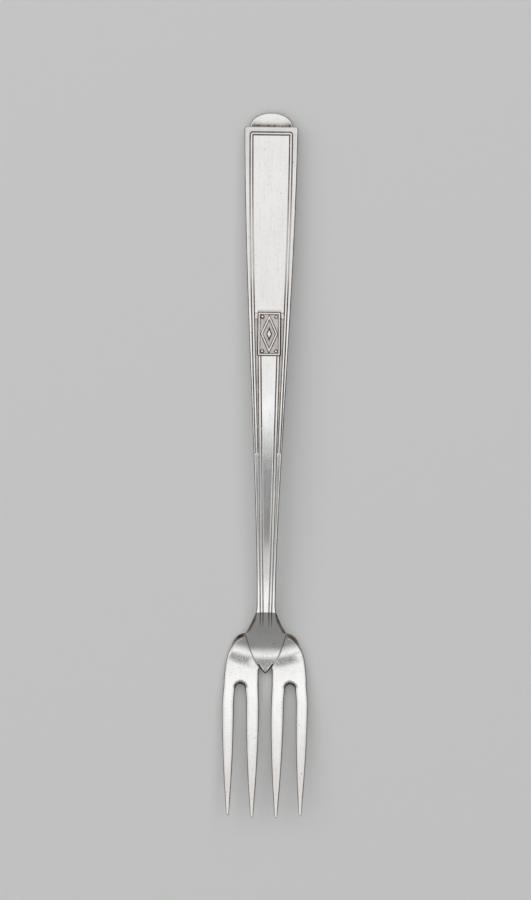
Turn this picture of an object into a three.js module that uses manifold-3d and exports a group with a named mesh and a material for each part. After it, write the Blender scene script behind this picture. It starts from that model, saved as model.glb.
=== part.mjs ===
// A hollow-handled fish fork with four tines, lying face up on a table.
// Millimetres, +Z up. X runs across the fork, and Y from the tine tips to the end of the handle.
// The origin is on the table, under the middle of the fork.

import * as THREE from "three";
import { mergeVertices } from "three/addons/utils/BufferGeometryUtils.js";
import Module from "manifold-3d";

const wasm = await Module();
wasm.setup();

// Lengths along the fork, in order from the tine tips
const SLOT_DEPTH = 34.1; // tine tips to the round top of a side slot
const HEAD_LENGTH = 13; // top of a side slot to the shoulders
const NECK_LENGTH = 5.4; // shoulders to the mouth of the hollow handle
const STEM_LENGTH = 40; // mouth to the foot of the sunk channels
const CHANNEL_LENGTH = 25.5; // foot of the channels to the foot of the plaque
const PLAQUE_LENGTH = 10.9;
const PANEL_LENGTH = 47.5; // top of the plaque to the open end of the shells
const TAB_HEIGHT = 3.6; // half-round tab, beyond the shells

// Widths of the handle and neck
const HANDLE_END_WIDTH = 13.7;
const END_CORNER = 0.5; // corners cut off the open end of the shells
const STEM_WIDTH = 4.72;
const END_HOLD = 46.4; // length over which the handle keeps close to its end width
const END_TAPER = 0.55; // half-width lost over that length
const STEM_HOLD = 32.5; // length over which the stem keeps close to its width
const NECK_WIDTH = 10.4; // at the shoulders
const FLARE_LEAD = 1.6; // how far above the mouth the neck starts to widen
const NECK_HOLD = 2.2; // length from there over which it keeps close to the stem's width

// Tines, shoulders and tongue
const TINE_PITCH = 6.3; // between the inner tines' centres at the root
const TIP_PITCH = 6.15; // the same at the tips
const INNER_TINE_WIDTH = 3.3;
const OUTER_TINE_WIDTH = 3.05;
const OUTER_TINE_SHORT = 0.6; // how far an outer tine ends behind the inner ones
const TINE_TIP_WIDTH = 0.65;
const TINE_TAPER_POWER = 1.9; // the taper quickens towards the tip
const SLOT_TOP_WIDTH = 2.5;
const SLOT_FLARE = 6; // length over which a slot opens to the full gap between the tines
const CENTRE_SLOT_WIDTH = 3.4; // where the middle slot meets the tongue
const HEAD_WIDTH = 21.2; // over the shoulders, level with the slots
const TINE_BULGE = 0.375; // how far an outer tine's root stands out beyond that width
const SHOULDER_BULGE = 3.5; // reach of the shoulder curve along its top
const SHOULDER_DROP = 7.3; // reach of the shoulder curve down its side
const SHOULDER_FLARE = 0.2; // outward lean of that side
const TONGUE_LENGTH = 10.3; // shoulders to the point of the tongue
const TONGUE_BELLY = 3.3; // half-width that draws the tongue's edge into an arch
const TONGUE_BELLY_RISE = 2.8; // height of that pull above the point
const LAP = 1.2; // ledge of a tine pair that lies under the tongue
const NECK_OVERLAP = 1; // length of tongue that runs up inside the neck

// Thicknesses
const HANDLE_THICKNESS = 4.4;
const STEM_THICKNESS = 3.6; // at the mouth
const SHOULDER_THICKNESS = 2.2;
const TINE_ROOT_THICKNESS = 2;
const TINE_TIP_THICKNESS = 1;
const WALL = 0.9; // of the handle shells

// Side profile
const HANDLE_TILT = 3; // degrees that the straight handle rises towards the neck
const MOUTH_TILT = 7.5; // degrees that the stem falls at the mouth
const CREST_FROM_MOUTH = 30; // highest point of the arch
const CREST_RUN = 22; // crest to the straight part of the handle
const BOTTOM_FROM_SHOULDER = 7.2; // lowest point of the head
const NECK_TURN = 4.2; // length of head above it that turns up into the straight neck
const TINE_TURN = 2.5; // length of head beyond it that turns up into the tines
const TINE_TILT = 5.5; // degrees that the tines rise after that turn
const TIP_TILT = 10; // degrees that they rise at the tips
const DISH = 0.024; // how far the bend lags behind towards the sides, per mm squared

// Struck relief of the front shell
const CROWN = 0.08; // fall of the gently rounded face from its middle to its edges
const EDGE_BEVEL = 0.4; // run of the bevel along the outer edge
const EDGE_DROP = 0.6; // its fall
const BORDER_AT_END = 1.8; // edge to the outer bead's centre, at the end of the handle
const BORDER_AT_FOOT = 0.75; // the same, at the foot of the channels
const BEAD_WIDTH = 0.4;
const GROOVE_WIDTH = 0.3;
const GROOVE_DEPTH = 0.25;
const GROOVE_ROOM = 0.45; // most of the room beside a bead that its groove may take
const CHANNEL_DEPTH = 0.35;
const STRIP_AT_PLAQUE = 4.8; // between the inner beads' centres, at the plaque
const STRIP_AT_MOUTH = 2.2; // the same, at the mouth
const BAND_DROP = 0.05; // fall of the stem's side bands to their outer edge
const STEP_RUN = 0.4; // length in which the relief changes level
const GROOVE_FADE = 4.2; // length in which the grooves run out on the neck
const NECK_EDGE_SHARE = 0.5; // share of the stem's bevels that is left at the shoulders

// Plaque, tang, filling and end tab
const PLAQUE_WIDTH = 5.6;
const POCKET_DEPTH = 0.5;
const PLAQUE_BASE = 0.15;
const PLAQUE_FRAME = 0.42;
const LOZENGE_LINE = 0.4;
const LOZENGE_MARGIN = 0.25; // frame to the points of the lozenge
const BOSS_WIDTH = 1.1;
const BOSS_LENGTH = 2.6;
const PELLET_RADIUS = 0.36;
const PELLET_INSET = 0.62; // frame to a pellet's centre
const TANG_WIDTH = 2.9;
const TANG_LENGTH = 52; // beyond the mouth
const TANG_POINT = 12; // length of its tapered end
const TANG_POINT_WIDTH = 1.2;
const TANG_CLEARANCE = 0.12;
const FILLING_FROM_MOUTH = 34;
const FILLING_END_GAP = 0.5; // between the filling and the tab's plug
const TAB_WIDTH = 11;
const TAB_PLUG = 8; // length of the tab inside the shells
const SOLDER_GAP = 0.1;

// Stations along Y before the fork is centred, with the tine tips at zero
const SHOULDER = SLOT_DEPTH + HEAD_LENGTH;
const MOUTH = SHOULDER + NECK_LENGTH;
const CHANNEL_FOOT = MOUTH + STEM_LENGTH;
const PLAQUE_FOOT = CHANNEL_FOOT + CHANNEL_LENGTH;
const PLAQUE_TOP = PLAQUE_FOOT + PLAQUE_LENGTH;
const HANDLE_END = PLAQUE_TOP + PANEL_LENGTH;
const FORK_END = HANDLE_END + TAB_HEIGHT;
const BOTTOM = SHOULDER - BOTTOM_FROM_SHOULDER;
const CREST = MOUTH + CREST_FROM_MOUTH;
const STRAIGHT = CREST + CREST_RUN;
const END_BEAD = HANDLE_END - BORDER_AT_END;

// Fineness of the facets, and reach of the cutting solids
const CURVE_STEPS = 10;
const HANDLE_STEP = 4; // between the sections of the handle
const HEAD_STEP = 1.4; // between the sections of the head and neck
const HEAD_STRIPS = 12; // across the head
const MARGIN = 2; // of the head's blank beyond its outline
const FAR = 40;

const { clamp, degToRad, lerp } = THREE.MathUtils;

// Value that runs from a at start to b at end and holds beyond both
function ramp(y, start, a, end, b) {
  return lerp(a, b, clamp((y - start) / (end - start), 0, 1));
}

function evenly(from, to, count) {
  return Array.from({ length: count + 1 }, (_, i) => lerp(from, to, i / count));
}

// Sections from one place to another, no further apart than a step
function sections(from, to, step) {
  return evenly(from, to, Math.ceil((to - from) / step));
}

// Side profile: height of the fork's middle surface along its centre line
function spine(y) {
  const handleSlope = Math.tan(degToRad(HANDLE_TILT));
  const mouthSlope = Math.tan(degToRad(MOUTH_TILT));
  const rest = (HANDLE_THICKNESS - plateThickness(BOTTOM)) / 2;
  const straightHeight = rest + (HANDLE_END - STRAIGHT) * handleSlope;
  const crestHeight = straightHeight + (handleSlope * CREST_RUN) / 2;
  const mouthHeight = crestHeight - (mouthSlope * CREST_FROM_MOUTH) / 2;
  if (y >= STRAIGHT) return rest + (HANDLE_END - y) * handleSlope;
  if (y >= CREST) return crestHeight - (handleSlope * (y - CREST) ** 2) / (2 * CREST_RUN);
  if (y >= MOUTH) return crestHeight - (mouthSlope * (CREST - y) ** 2) / (2 * CREST_FROM_MOUTH);
  if (y >= BOTTOM) return (mouthHeight * bend(y - BOTTOM, NECK_TURN)) / bend(MOUTH - BOTTOM, NECK_TURN);
  return tineProfile(BOTTOM - y);
}

// Rise of a line that turns from level to a slope of one over a run, and then goes straight on
function bend(along, run) {
  const turned = Math.min(along, run);
  return turned ** 2 / (2 * run) + along - turned;
}

// Rise of the tines out of the level bottom; after the turn they curve on to their tips
function tineProfile(along) {
  const tineSlope = Math.tan(degToRad(TINE_TILT));
  const tipSlope = Math.tan(degToRad(TIP_TILT));
  const risen = Math.max(along - TINE_TURN, 0);
  const curve = ((tipSlope - tineSlope) * risen ** 2) / (2 * (BOTTOM - TINE_TURN));
  return tineSlope * bend(along, TINE_TURN) + curve;
}

// Height of the middle surface anywhere: the sides of the head bend earlier, and level out along the tines
function height(x, y) {
  const share = clamp(Math.min((MOUTH - y) / NECK_LENGTH, y / SLOT_DEPTH), 0, 1);
  return spine(y - DISH * x * x * share);
}

function plateThickness(y) {
  if (y < SLOT_DEPTH) return ramp(y, 0, TINE_TIP_THICKNESS, SLOT_DEPTH, TINE_ROOT_THICKNESS);
  return ramp(y, SLOT_DEPTH, TINE_ROOT_THICKNESS, SHOULDER, SHOULDER_THICKNESS);
}

// Outlines of the handle, from its end to the mouth, and of the neck, as half-widths along Y
const handleEdge = new THREE.CubicBezierCurve(
  new THREE.Vector2(HANDLE_END_WIDTH / 2, HANDLE_END),
  new THREE.Vector2(HANDLE_END_WIDTH / 2 - END_TAPER, HANDLE_END - END_HOLD),
  new THREE.Vector2(STEM_WIDTH / 2, MOUTH + STEM_HOLD),
  new THREE.Vector2(STEM_WIDTH / 2, MOUTH),
);
const neckEdge = new THREE.QuadraticBezierCurve(
  new THREE.Vector2(STEM_WIDTH / 2, MOUTH + FLARE_LEAD),
  new THREE.Vector2(STEM_WIDTH / 2, MOUTH + FLARE_LEAD - NECK_HOLD),
  new THREE.Vector2(NECK_WIDTH / 2, SHOULDER),
);

// Half-width of an edge curve at y, found by halving: y falls steadily along both curves
function edgeAt(curve, y) {
  let low = 0;
  let high = 1;
  for (let i = 0; i < 40; i++) {
    const middle = (low + high) / 2;
    if (curve.getPoint(middle).y > y) low = middle;
    else high = middle;
  }
  return curve.getPoint(low).x;
}

const halfWidth = (y) => Math.max(edgeAt(handleEdge, y), edgeAt(neckEdge, y));
const halfThickness = (y) => ramp(y, MOUTH, STEM_THICKNESS, STRAIGHT, HANDLE_THICKNESS) / 2;
const cavityHalf = (y) => halfWidth(y) - WALL;
const cavityRise = (y) => halfThickness(y) - WALL;
const innerBead = (y) => ramp(y, MOUTH, STRIP_AT_MOUTH, PLAQUE_FOOT, STRIP_AT_PLAQUE) / 2;
const outerBead = (y) => halfWidth(y) - ramp(y, CHANNEL_FOOT, BORDER_AT_FOOT, HANDLE_END, BORDER_AT_END);

// Closed mesh through rings of [x, z] points, each anticlockwise seen from the tines, at rising y
function loft(stations, ringAt) {
  const rings = stations.map(ringAt);
  const count = rings[0].length;
  const positions = rings.flatMap((ring, i) => ring.flatMap(([x, z]) => [x, stations[i], z]));
  const index = [];
  for (let i = 0; i + 1 < rings.length; i++) {
    for (let j = 0; j < count; j++) {
      const next = (j + 1) % count;
      const [a, b] = [i * count + j, i * count + next];
      index.push(a, b + count, b, a, a + count, b + count);
    }
  }
  const last = (rings.length - 1) * count;
  for (const [a, b, c] of capTriangles(rings[0])) index.push(a, b, c);
  for (const [a, b, c] of capTriangles(rings.at(-1))) index.push(last + a, last + c, last + b);
  const geometry = new THREE.BufferGeometry();
  geometry.setAttribute("position", new THREE.Float32BufferAttribute(positions, 3));
  return geometry.setIndex(index);
}

function capTriangles(ring) {
  const contour = ring.map(([x, z]) => new THREE.Vector2(x, z));
  return THREE.ShapeUtils.triangulateShape(contour, []).map((triangle) => {
    const clockwise = THREE.ShapeUtils.area(triangle.map((k) => contour[k])) < 0;
    return clockwise ? [triangle[0], triangle[2], triangle[1]] : triangle;
  });
}

function solid(geometry) {
  const bare = geometry.clone();
  bare.deleteAttribute("normal");
  bare.deleteAttribute("uv");
  const merged = mergeVertices(bare);
  const vertProperties = merged.attributes.position.array;
  const triVerts = new Uint32Array(merged.index.array);
  return new wasm.Manifold(new wasm.Mesh({ numProp: 3, vertProperties, triVerts }));
}

function geometryOf(made) {
  const mesh = made.getMesh();
  const geometry = new THREE.BufferGeometry();
  geometry.setAttribute("position", new THREE.Float32BufferAttribute(mesh.vertProperties, 3));
  geometry.setIndex(new THREE.Uint32BufferAttribute(mesh.triVerts, 1));
  geometry.computeVertexNormals();
  return geometry;
}

// Upright prism of a plan outline between two heights
function prism(shape, low = -FAR, high = FAR) {
  const extruded = new THREE.ExtrudeGeometry(shape, { depth: high - low, bevelEnabled: false });
  return extruded.translate(0, 0, low);
}

// Lays a piece that was drawn flat along the fork's side profile
function lay(geometry) {
  const at = geometry.attributes.position;
  for (let i = 0; i < at.count; i++) at.setZ(i, at.getZ(i) + height(at.getX(i), at.getY(i)));
  return geometry;
}

function rectangle(halfX, fromY, toY) {
  const corners = [[-halfX, fromY], [halfX, fromY], [halfX, toY], [-halfX, toY]];
  return new THREE.Shape(corners.map(([x, y]) => new THREE.Vector2(x, y)));
}

// Head: bent plate, tines and tongue

// Part of the bent head plate between two heights over its middle surface
function headPlate(low, high) {
  const reach = HEAD_WIDTH / 2 + TINE_BULGE + MARGIN;
  const across = evenly(-reach, reach, HEAD_STRIPS);
  return solid(loft(sections(-MARGIN, SHOULDER + MARGIN, HEAD_STEP), (y) => [
    ...across.map((x) => [x, height(x, y) + low(y)]),
    ...across.toReversed().map((x) => [x, height(x, y) + high(y)]),
  ]));
}

const backOf = (y) => -plateThickness(y) / 2;
const faceOf = (y) => plateThickness(y) / 2;

// One edge of a tine, from its root to its tip; side is 1 for the edge further from the middle
function tineEdge(rootX, tipY, width, side) {
  const root = new THREE.Vector2(rootX, SLOT_DEPTH - SLOT_FLARE);
  const tip = new THREE.Vector2((rootX * TIP_PITCH) / TINE_PITCH, tipY);
  return evenly(0, 1, CURVE_STEPS).map((t) => {
    const half = lerp(width, TINE_TIP_WIDTH, t ** TINE_TAPER_POWER) / 2;
    return root.clone().lerp(tip, t).add(new THREE.Vector2(side * half, 0));
  });
}

// Round-topped side slot, from the outer tine's edge to the inner tine's
function slotTop(outerSide, innerSide) {
  const middle = (outerSide.x + innerSide.x) / 2;
  const radius = SLOT_TOP_WIDTH / 2;
  const centreY = SLOT_DEPTH - radius;
  const flank = (from, to, pull) =>
    new THREE.QuadraticBezierCurve(from, new THREE.Vector2(pull, lerp(outerSide.y, centreY, 0.5)), to);
  const right = new THREE.Vector2(middle + radius, centreY);
  const left = new THREE.Vector2(middle - radius, centreY);
  return [
    ...flank(outerSide, right, outerSide.x).getPoints(4),
    ...new THREE.EllipseCurve(middle, centreY, radius, radius, 0, Math.PI).getPoints(CURVE_STEPS),
    ...flank(left, innerSide, innerSide.x).getPoints(4),
  ];
}

// Plan outline of the right-hand pair of tines, with the shoulder that carries them
function tinePairOutline() {
  const shoulder = new THREE.CubicBezierCurve(
    new THREE.Vector2(NECK_WIDTH / 2 + SOLDER_GAP, SHOULDER),
    new THREE.Vector2(NECK_WIDTH / 2 + SHOULDER_BULGE, SHOULDER),
    new THREE.Vector2(HEAD_WIDTH / 2 - SHOULDER_FLARE, SLOT_DEPTH + SHOULDER_DROP),
    new THREE.Vector2(HEAD_WIDTH / 2, SLOT_DEPTH),
  );
  const edges = (rootX, tipY, width) => [1, -1].map((side) => tineEdge(rootX, tipY, width, side));
  const outerRoot = HEAD_WIDTH / 2 + TINE_BULGE - OUTER_TINE_WIDTH / 2;
  const [outerRight, outerLeft] = edges(outerRoot, OUTER_TINE_SHORT, OUTER_TINE_WIDTH);
  const [innerRight, innerLeft] = edges(TINE_PITCH / 2, 0, INNER_TINE_WIDTH);
  const points = [
    new THREE.Vector2(CENTRE_SLOT_WIDTH / 2, SHOULDER),
    ...shoulder.getPoints(CURVE_STEPS),
    ...outerRight,
    ...outerLeft.toReversed(),
    ...slotTop(outerLeft[0], innerRight[0]),
    ...innerRight,
    ...innerLeft.toReversed(),
    new THREE.Vector2(CENTRE_SLOT_WIDTH / 2, SLOT_DEPTH),
  ];
  return points.filter((p, i) => i === 0 || p.distanceTo(points[i - 1]) > 1e-4);
}

// Pointed-arch outline of the tongue, drawn in by an inset all round
function tongueOutline(inset) {
  const point = SHOULDER - TONGUE_LENGTH;
  const arch = new THREE.QuadraticBezierCurve(
    new THREE.Vector2(NECK_WIDTH / 2, SHOULDER + SOLDER_GAP),
    new THREE.Vector2(TONGUE_BELLY, point + TONGUE_BELLY_RISE),
    new THREE.Vector2(0, point),
  );
  const right = evenly(0, 1, CURVE_STEPS).map((t) => {
    const along = arch.getTangent(t);
    return arch.getPoint(t).add(new THREE.Vector2(along.y, -along.x).multiplyScalar(inset));
  }).filter((p) => p.x > 0);
  const [before, last] = right.slice(-2);
  const tip = last.y - (last.x * (last.y - before.y)) / (last.x - before.x);
  const left = right.toReversed().map((p) => new THREE.Vector2(-p.x, p.y));
  const rootY = SHOULDER + NECK_OVERLAP;
  const rootX = halfWidth(rootY) - Math.max(inset, SOLDER_GAP);
  const root = [-rootX, rootX].map((x) => new THREE.Vector2(x, rootY));
  return new THREE.Shape([...right, new THREE.Vector2(0, tip), ...left, ...root]);
}

// Pair of tines with a ledge that reaches under the tongue
function tinePair(side) {
  const outline = tinePairOutline().map((p) => new THREE.Vector2(side * p.x, p.y));
  const blank = headPlate(backOf, faceOf).intersect(solid(prism(new THREE.Shape(outline))));
  const overLedge = headPlate(() => 0, () => FAR).intersect(solid(prism(tongueOutline(-SOLDER_GAP))));
  const throughLedge = solid(prism(tongueOutline(LAP - SOLDER_GAP)));
  return geometryOf(blank.subtract(overLedge).subtract(throughLedge));
}

// Relief of the handle's face

// Levels from outside a bead to inside it: flat, groove, bead, bead, groove, flat
const BEAD_SUNK = [0, 1, 0, 0, 1, 0];

// Where those levels lie across a bead, with grooves that shrink to the room they have on each side
function beadPlaces(centre, outside, inside) {
  const half = BEAD_WIDTH / 2;
  const outer = Math.min(GROOVE_WIDTH, GROOVE_ROOM * (outside - centre - half));
  const inner = Math.min(GROOVE_WIDTH, GROOVE_ROOM * (centre - half - inside));
  return [half + outer, half + outer / 2, half, -half, -half - inner / 2, -half - inner]
    .map((offset) => centre + offset);
}

// Right half of the handle's face, from its edge inwards, as [x, depth]; end holds how far the end bead's
// levels have been passed, from 0 on the border to 5 on the field inside it
function panelHalf(y, end = 5) {
  const edge = halfWidth(y);
  const inner = innerBead(y) + BEAD_WIDTH / 2;
  const outerPlaces = beadPlaces(outerBead(y), edge - EDGE_BEVEL, inner);
  const framed = outerPlaces.map((x, i) => [x, GROOVE_DEPTH * BEAD_SUNK[Math.min(i, end)]]);
  const field = GROOVE_DEPTH * BEAD_SUNK[end];
  const innerPlaces = beadPlaces(innerBead(y), outerPlaces.at(-1), 0);
  return [[edge, EDGE_DROP], [edge - EDGE_BEVEL, 0], ...framed, ...innerPlaces.map((x) => [x, field])];
}

// The same beside the channels: border, outer bead, sunk channel, inner bead and strip
function channelHalf(y) {
  const border = [EDGE_DROP, 0];
  const outer = [0, GROOVE_DEPTH, 0, 0, CHANNEL_DEPTH, CHANNEL_DEPTH];
  const depths = [...border, ...outer, ...outer.toReversed()];
  return panelHalf(y).map(([x], i) => [x, depths[i]]);
}

// The same on the stem and neck: sloping side band, inner bead and strip
function stemHalf(y, edge, sharpness) {
  const innerPlaces = beadPlaces(innerBead(y), edge - EDGE_BEVEL, 0);
  const inner = innerPlaces.map((x, i) => [x, sharpness * GROOVE_DEPTH * BEAD_SUNK[i]]);
  const bandWidth = edge - innerPlaces[0];
  const band = evenly(edge - EDGE_BEVEL, innerPlaces[0], 7).slice(0, -1);
  const slope = (x) => (BAND_DROP * (x - innerPlaces[0])) / bandWidth;
  return [[edge, BAND_DROP + EDGE_DROP], ...band.map((x) => [x, slope(x)]), ...inner];
}

// Both halves as [x, z] points from the right edge to the left, with the middle at the given height
function wholeFace(half, face) {
  const [edge] = half[0];
  const right = half.map(([x, depth]) => [x, face - depth - CROWN * (x / edge) ** 2]);
  return [...right, ...right.toReversed().map(([x, z]) => [-x, z])];
}

// Stations of the front shell with the right half of its face at each
function faceStations() {
  const levels = beadPlaces(END_BEAD, HANDLE_END, PLAQUE_TOP);
  const stem = sections(MOUTH, CHANNEL_FOOT - STEP_RUN / 2, HANDLE_STEP);
  const channels = sections(CHANNEL_FOOT + STEP_RUN / 2, PLAQUE_TOP - STEP_RUN / 2, HANDLE_STEP);
  const panel = sections(PLAQUE_TOP + STEP_RUN / 2, levels[5], HANDLE_STEP);
  return [
    ...stem.map((y) => [y, stemHalf(y, halfWidth(y), 1)]),
    ...channels.map((y) => [y, channelHalf(y)]),
    ...panel.map((y) => [y, panelHalf(y)]),
    ...[4, 3, 2, 1, 0].map((level) => [levels[level], panelHalf(levels[level], level)]),
    [HANDLE_END - END_CORNER, panelHalf(HANDLE_END - END_CORNER, 0)],
    [HANDLE_END, narrowed(panelHalf(HANDLE_END, 0), END_CORNER)],
  ];
}

function narrowed(half, by) {
  const share = 1 - by / half[0][0];
  return half.map(([x, depth]) => [x * share, depth]);
}

// Handle shells

// Inner wall of a shell as [x, z] points from left to right; up is 1 for the front shell
function shellLining(y, up) {
  const wall = cavityHalf(y);
  const roof = spine(y) + up * cavityRise(y);
  const seam = spine(y) + (up * SOLDER_GAP) / 2;
  return [[-wall, seam], [-wall, roof], [wall, roof], [wall, seam]];
}

function frontShell() {
  const rows = faceStations();
  const shell = solid(loft(rows.map(([y]) => y), (y, i) => {
    const seam = spine(y) + SOLDER_GAP / 2;
    const face = wholeFace(rows[i][1], spine(y) + halfThickness(y));
    const [edge] = face[0];
    return [[edge, seam], ...face, [-edge, seam], ...shellLining(y, 1)];
  }));
  const pocketFloor = halfThickness(PLAQUE_FOOT) - POCKET_DEPTH;
  const opening = rectangle(PLAQUE_WIDTH / 2 + SOLDER_GAP, PLAQUE_FOOT - SOLDER_GAP, PLAQUE_TOP + SOLDER_GAP);
  const pocket = solid(lay(prism(opening, pocketFloor, FAR)));
  return geometryOf(shell.subtract(pocket));
}

// Plain back half of the handle, with a flat back and bevelled edges
function backShell() {
  const bent = sections(MOUTH, STRAIGHT, HANDLE_STEP);
  const flat = sections(STRAIGHT, HANDLE_END - END_CORNER, HANDLE_STEP).slice(1);
  return loft([...bent, ...flat, HANDLE_END], (y) => {
    const cut = y === HANDLE_END ? END_CORNER : 0;
    const edge = halfWidth(y) - cut;
    const seam = spine(y) - SOLDER_GAP / 2;
    const back = spine(y) - halfThickness(y);
    const left = [[-edge, seam], [-edge, back + EDGE_DROP], [-edge + EDGE_BEVEL, back]];
    const right = left.toReversed().map(([x, z]) => [-x, z]);
    return [...left, ...right, ...shellLining(y, -1).toReversed()];
  });
}

// Neck with its tongue and the tang that sits in the handle

function tangHalf(y) {
  const point = MOUTH + TANG_LENGTH - TANG_POINT;
  const taper = ramp(y, point, TANG_WIDTH, MOUTH + TANG_LENGTH, TANG_POINT_WIDTH) / 2;
  return y < MOUTH ? tangHalf(MOUTH) : Math.min(taper, cavityHalf(y) - TANG_CLEARANCE);
}

// Tang from inside the neck to its point, grown by a margin all round
function tang(margin) {
  const inHandle = sections(MOUTH, MOUTH + TANG_LENGTH + margin, HANDLE_STEP);
  const stations = [MOUTH - NECK_OVERLAP, ...inHandle];
  return solid(loft(stations, (y) => {
    const half = tangHalf(y) + margin;
    const rise = cavityRise(MOUTH) - TANG_CLEARANCE + margin;
    const [low, high] = [spine(y) - rise, spine(y) + rise];
    return [[-half, low], [half, low], [half, high], [-half, high]];
  }));
}

function neckFlare() {
  return solid(loft(sections(SHOULDER + SOLDER_GAP, MOUTH - SOLDER_GAP, HEAD_STEP / 2), (y) => {
    const edge = halfWidth(y);
    const rise = ramp(y, SHOULDER, SHOULDER_THICKNESS, MOUTH, STEM_THICKNESS) / 2;
    const sharpness = clamp(1 - (MOUTH - y) / GROOVE_FADE, 0, 1);
    const steep = ramp(y, SHOULDER, NECK_EDGE_SHARE, MOUTH, 1);
    const half = stemHalf(MOUTH, edge, sharpness).map(([x, depth]) => [x, depth * steep]);
    const face = wholeFace(half, rise).map(([x, z]) => [x, z + height(x, y)]);
    const back = [[-edge, EDGE_DROP * steep - rise], [-edge + EDGE_BEVEL, -rise]];
    const under = [...back, ...back.toReversed().map(([x, z]) => [-x, z])];
    return [...under.map(([x, z]) => [x, z + height(x, y)]), ...face];
  }));
}

function neck() {
  const overLedge = headPlate(() => SOLDER_GAP, faceOf).intersect(solid(prism(tongueOutline(0))));
  const throughLedge = headPlate(backOf, faceOf).intersect(solid(prism(tongueOutline(LAP))));
  return geometryOf(neckFlare().add(overLedge).add(throughLedge).add(tang(0)));
}

// Small pieces

// Half-round tab with the plug that closes the end of the handle
function endTab() {
  const half = TAB_WIDTH / 2;
  const arc = new THREE.EllipseCurve(0, HANDLE_END, half, TAB_HEIGHT, 0, Math.PI).getPoints(2 * CURVE_STEPS);
  const plug = [-half, half].map((x) => new THREE.Vector2(x, HANDLE_END - TAB_PLUG));
  const rise = cavityRise(HANDLE_END) - SOLDER_GAP;
  return lay(prism(new THREE.Shape([...arc, ...plug]), -rise, rise));
}

// Cement that fills the handle round the end of the tang
function filling() {
  const end = HANDLE_END - TAB_PLUG - FILLING_END_GAP;
  const body = solid(loft(sections(MOUTH + FILLING_FROM_MOUTH, end, HANDLE_STEP), (y) => {
    const half = cavityHalf(y) - SOLDER_GAP;
    const [low, high] = [-1, 1].map((up) => spine(y) + up * (cavityRise(y) - SOLDER_GAP));
    return [[-half, low], [half, low], [half, high], [-half, high]];
  }));
  return geometryOf(body.subtract(tang(SOLDER_GAP)));
}

function lozenge(halfX, halfY, middleY) {
  const corners = [[halfX, 0], [0, halfY], [-halfX, 0], [0, -halfY]];
  return new THREE.Shape(corners.map(([x, y]) => new THREE.Vector2(x, middleY + y)));
}

// Struck plaque: framed sunk ground with a lozenge, a boss in its middle and a pellet in each corner
function plaque() {
  const floor = halfThickness(PLAQUE_FOOT) - POCKET_DEPTH + SOLDER_GAP;
  const ground = floor + PLAQUE_BASE;
  const top = halfThickness(PLAQUE_FOOT);
  const middle = (PLAQUE_FOOT + PLAQUE_TOP) / 2;
  const half = PLAQUE_WIDTH / 2;
  const inside = rectangle(half - PLAQUE_FRAME, PLAQUE_FOOT + PLAQUE_FRAME, PLAQUE_TOP - PLAQUE_FRAME);
  const fieldX = half - PLAQUE_FRAME;
  const fieldY = PLAQUE_LENGTH / 2 - PLAQUE_FRAME;
  const [reachX, reachY] = [fieldX - LOZENGE_MARGIN, fieldY - LOZENGE_MARGIN];
  const block = solid(prism(rectangle(half, PLAQUE_FOOT, PLAQUE_TOP), floor, top));
  const ring = solid(prism(lozenge(reachX, reachY, middle), floor, top));
  const hollow = lozenge(reachX - LOZENGE_LINE, reachY - (LOZENGE_LINE * reachY) / reachX, middle);
  const boss = solid(prism(lozenge(BOSS_WIDTH / 2, BOSS_LENGTH / 2, middle), floor, top));
  let made = block.subtract(solid(prism(inside, ground, FAR)));
  made = made.add(ring.subtract(solid(prism(hollow, ground, FAR)))).add(boss);
  for (const [sx, sy] of [[1, 1], [1, -1], [-1, 1], [-1, -1]]) {
    const pellet = new THREE.CylinderGeometry(PELLET_RADIUS, PELLET_RADIUS, top - floor, CURVE_STEPS);
    const [x, y] = [sx * (fieldX - PELLET_INSET), middle + sy * (fieldY - PELLET_INSET)];
    made = made.add(solid(pellet.rotateX(Math.PI / 2).translate(x, y, (floor + top) / 2)));
  }
  return lay(geometryOf(made));
}

// Assembly

const silver = (color, roughness) => new THREE.MeshStandardMaterial({ color, metalness: 1, roughness });
const cement = new THREE.MeshStandardMaterial({ color: 0x4a3a2c, metalness: 0, roughness: 0.9 });

const pieces = {
  left_tine_pair: [tinePair(-1), silver(0xe2e0db, 0.28)],
  right_tine_pair: [tinePair(1), silver(0xe2e0db, 0.28)],
  neck_with_tang: [neck(), silver(0xd8d6d0, 0.3)],
  handle_front_shell: [frontShell(), silver(0xdedcd7, 0.3)],
  handle_back_shell: [backShell(), silver(0xdedcd7, 0.3)],
  end_tab: [endTab(), silver(0xdcdad4, 0.32)],
  plaque: [plaque(), silver(0xcfccc5, 0.36)],
  handle_filling: [filling(), cement],
};

const fork = new THREE.Group();
for (const [name, [geometry, material]] of Object.entries(pieces)) {
  const mesh = new THREE.Mesh(geometry, material);
  mesh.name = name;
  fork.add(mesh);
}
const lowest = new THREE.Box3().setFromObject(fork).min.z;
fork.position.set(0, -FORK_END / 2, -lowest);

export default fork;
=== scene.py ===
"""Aged silver fish fork with a hollow handle, lying face up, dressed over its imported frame."""
import math
from collections import namedtuple

import bpy
import numpy as np
from mathutils import Matrix, Vector, geometry


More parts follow.
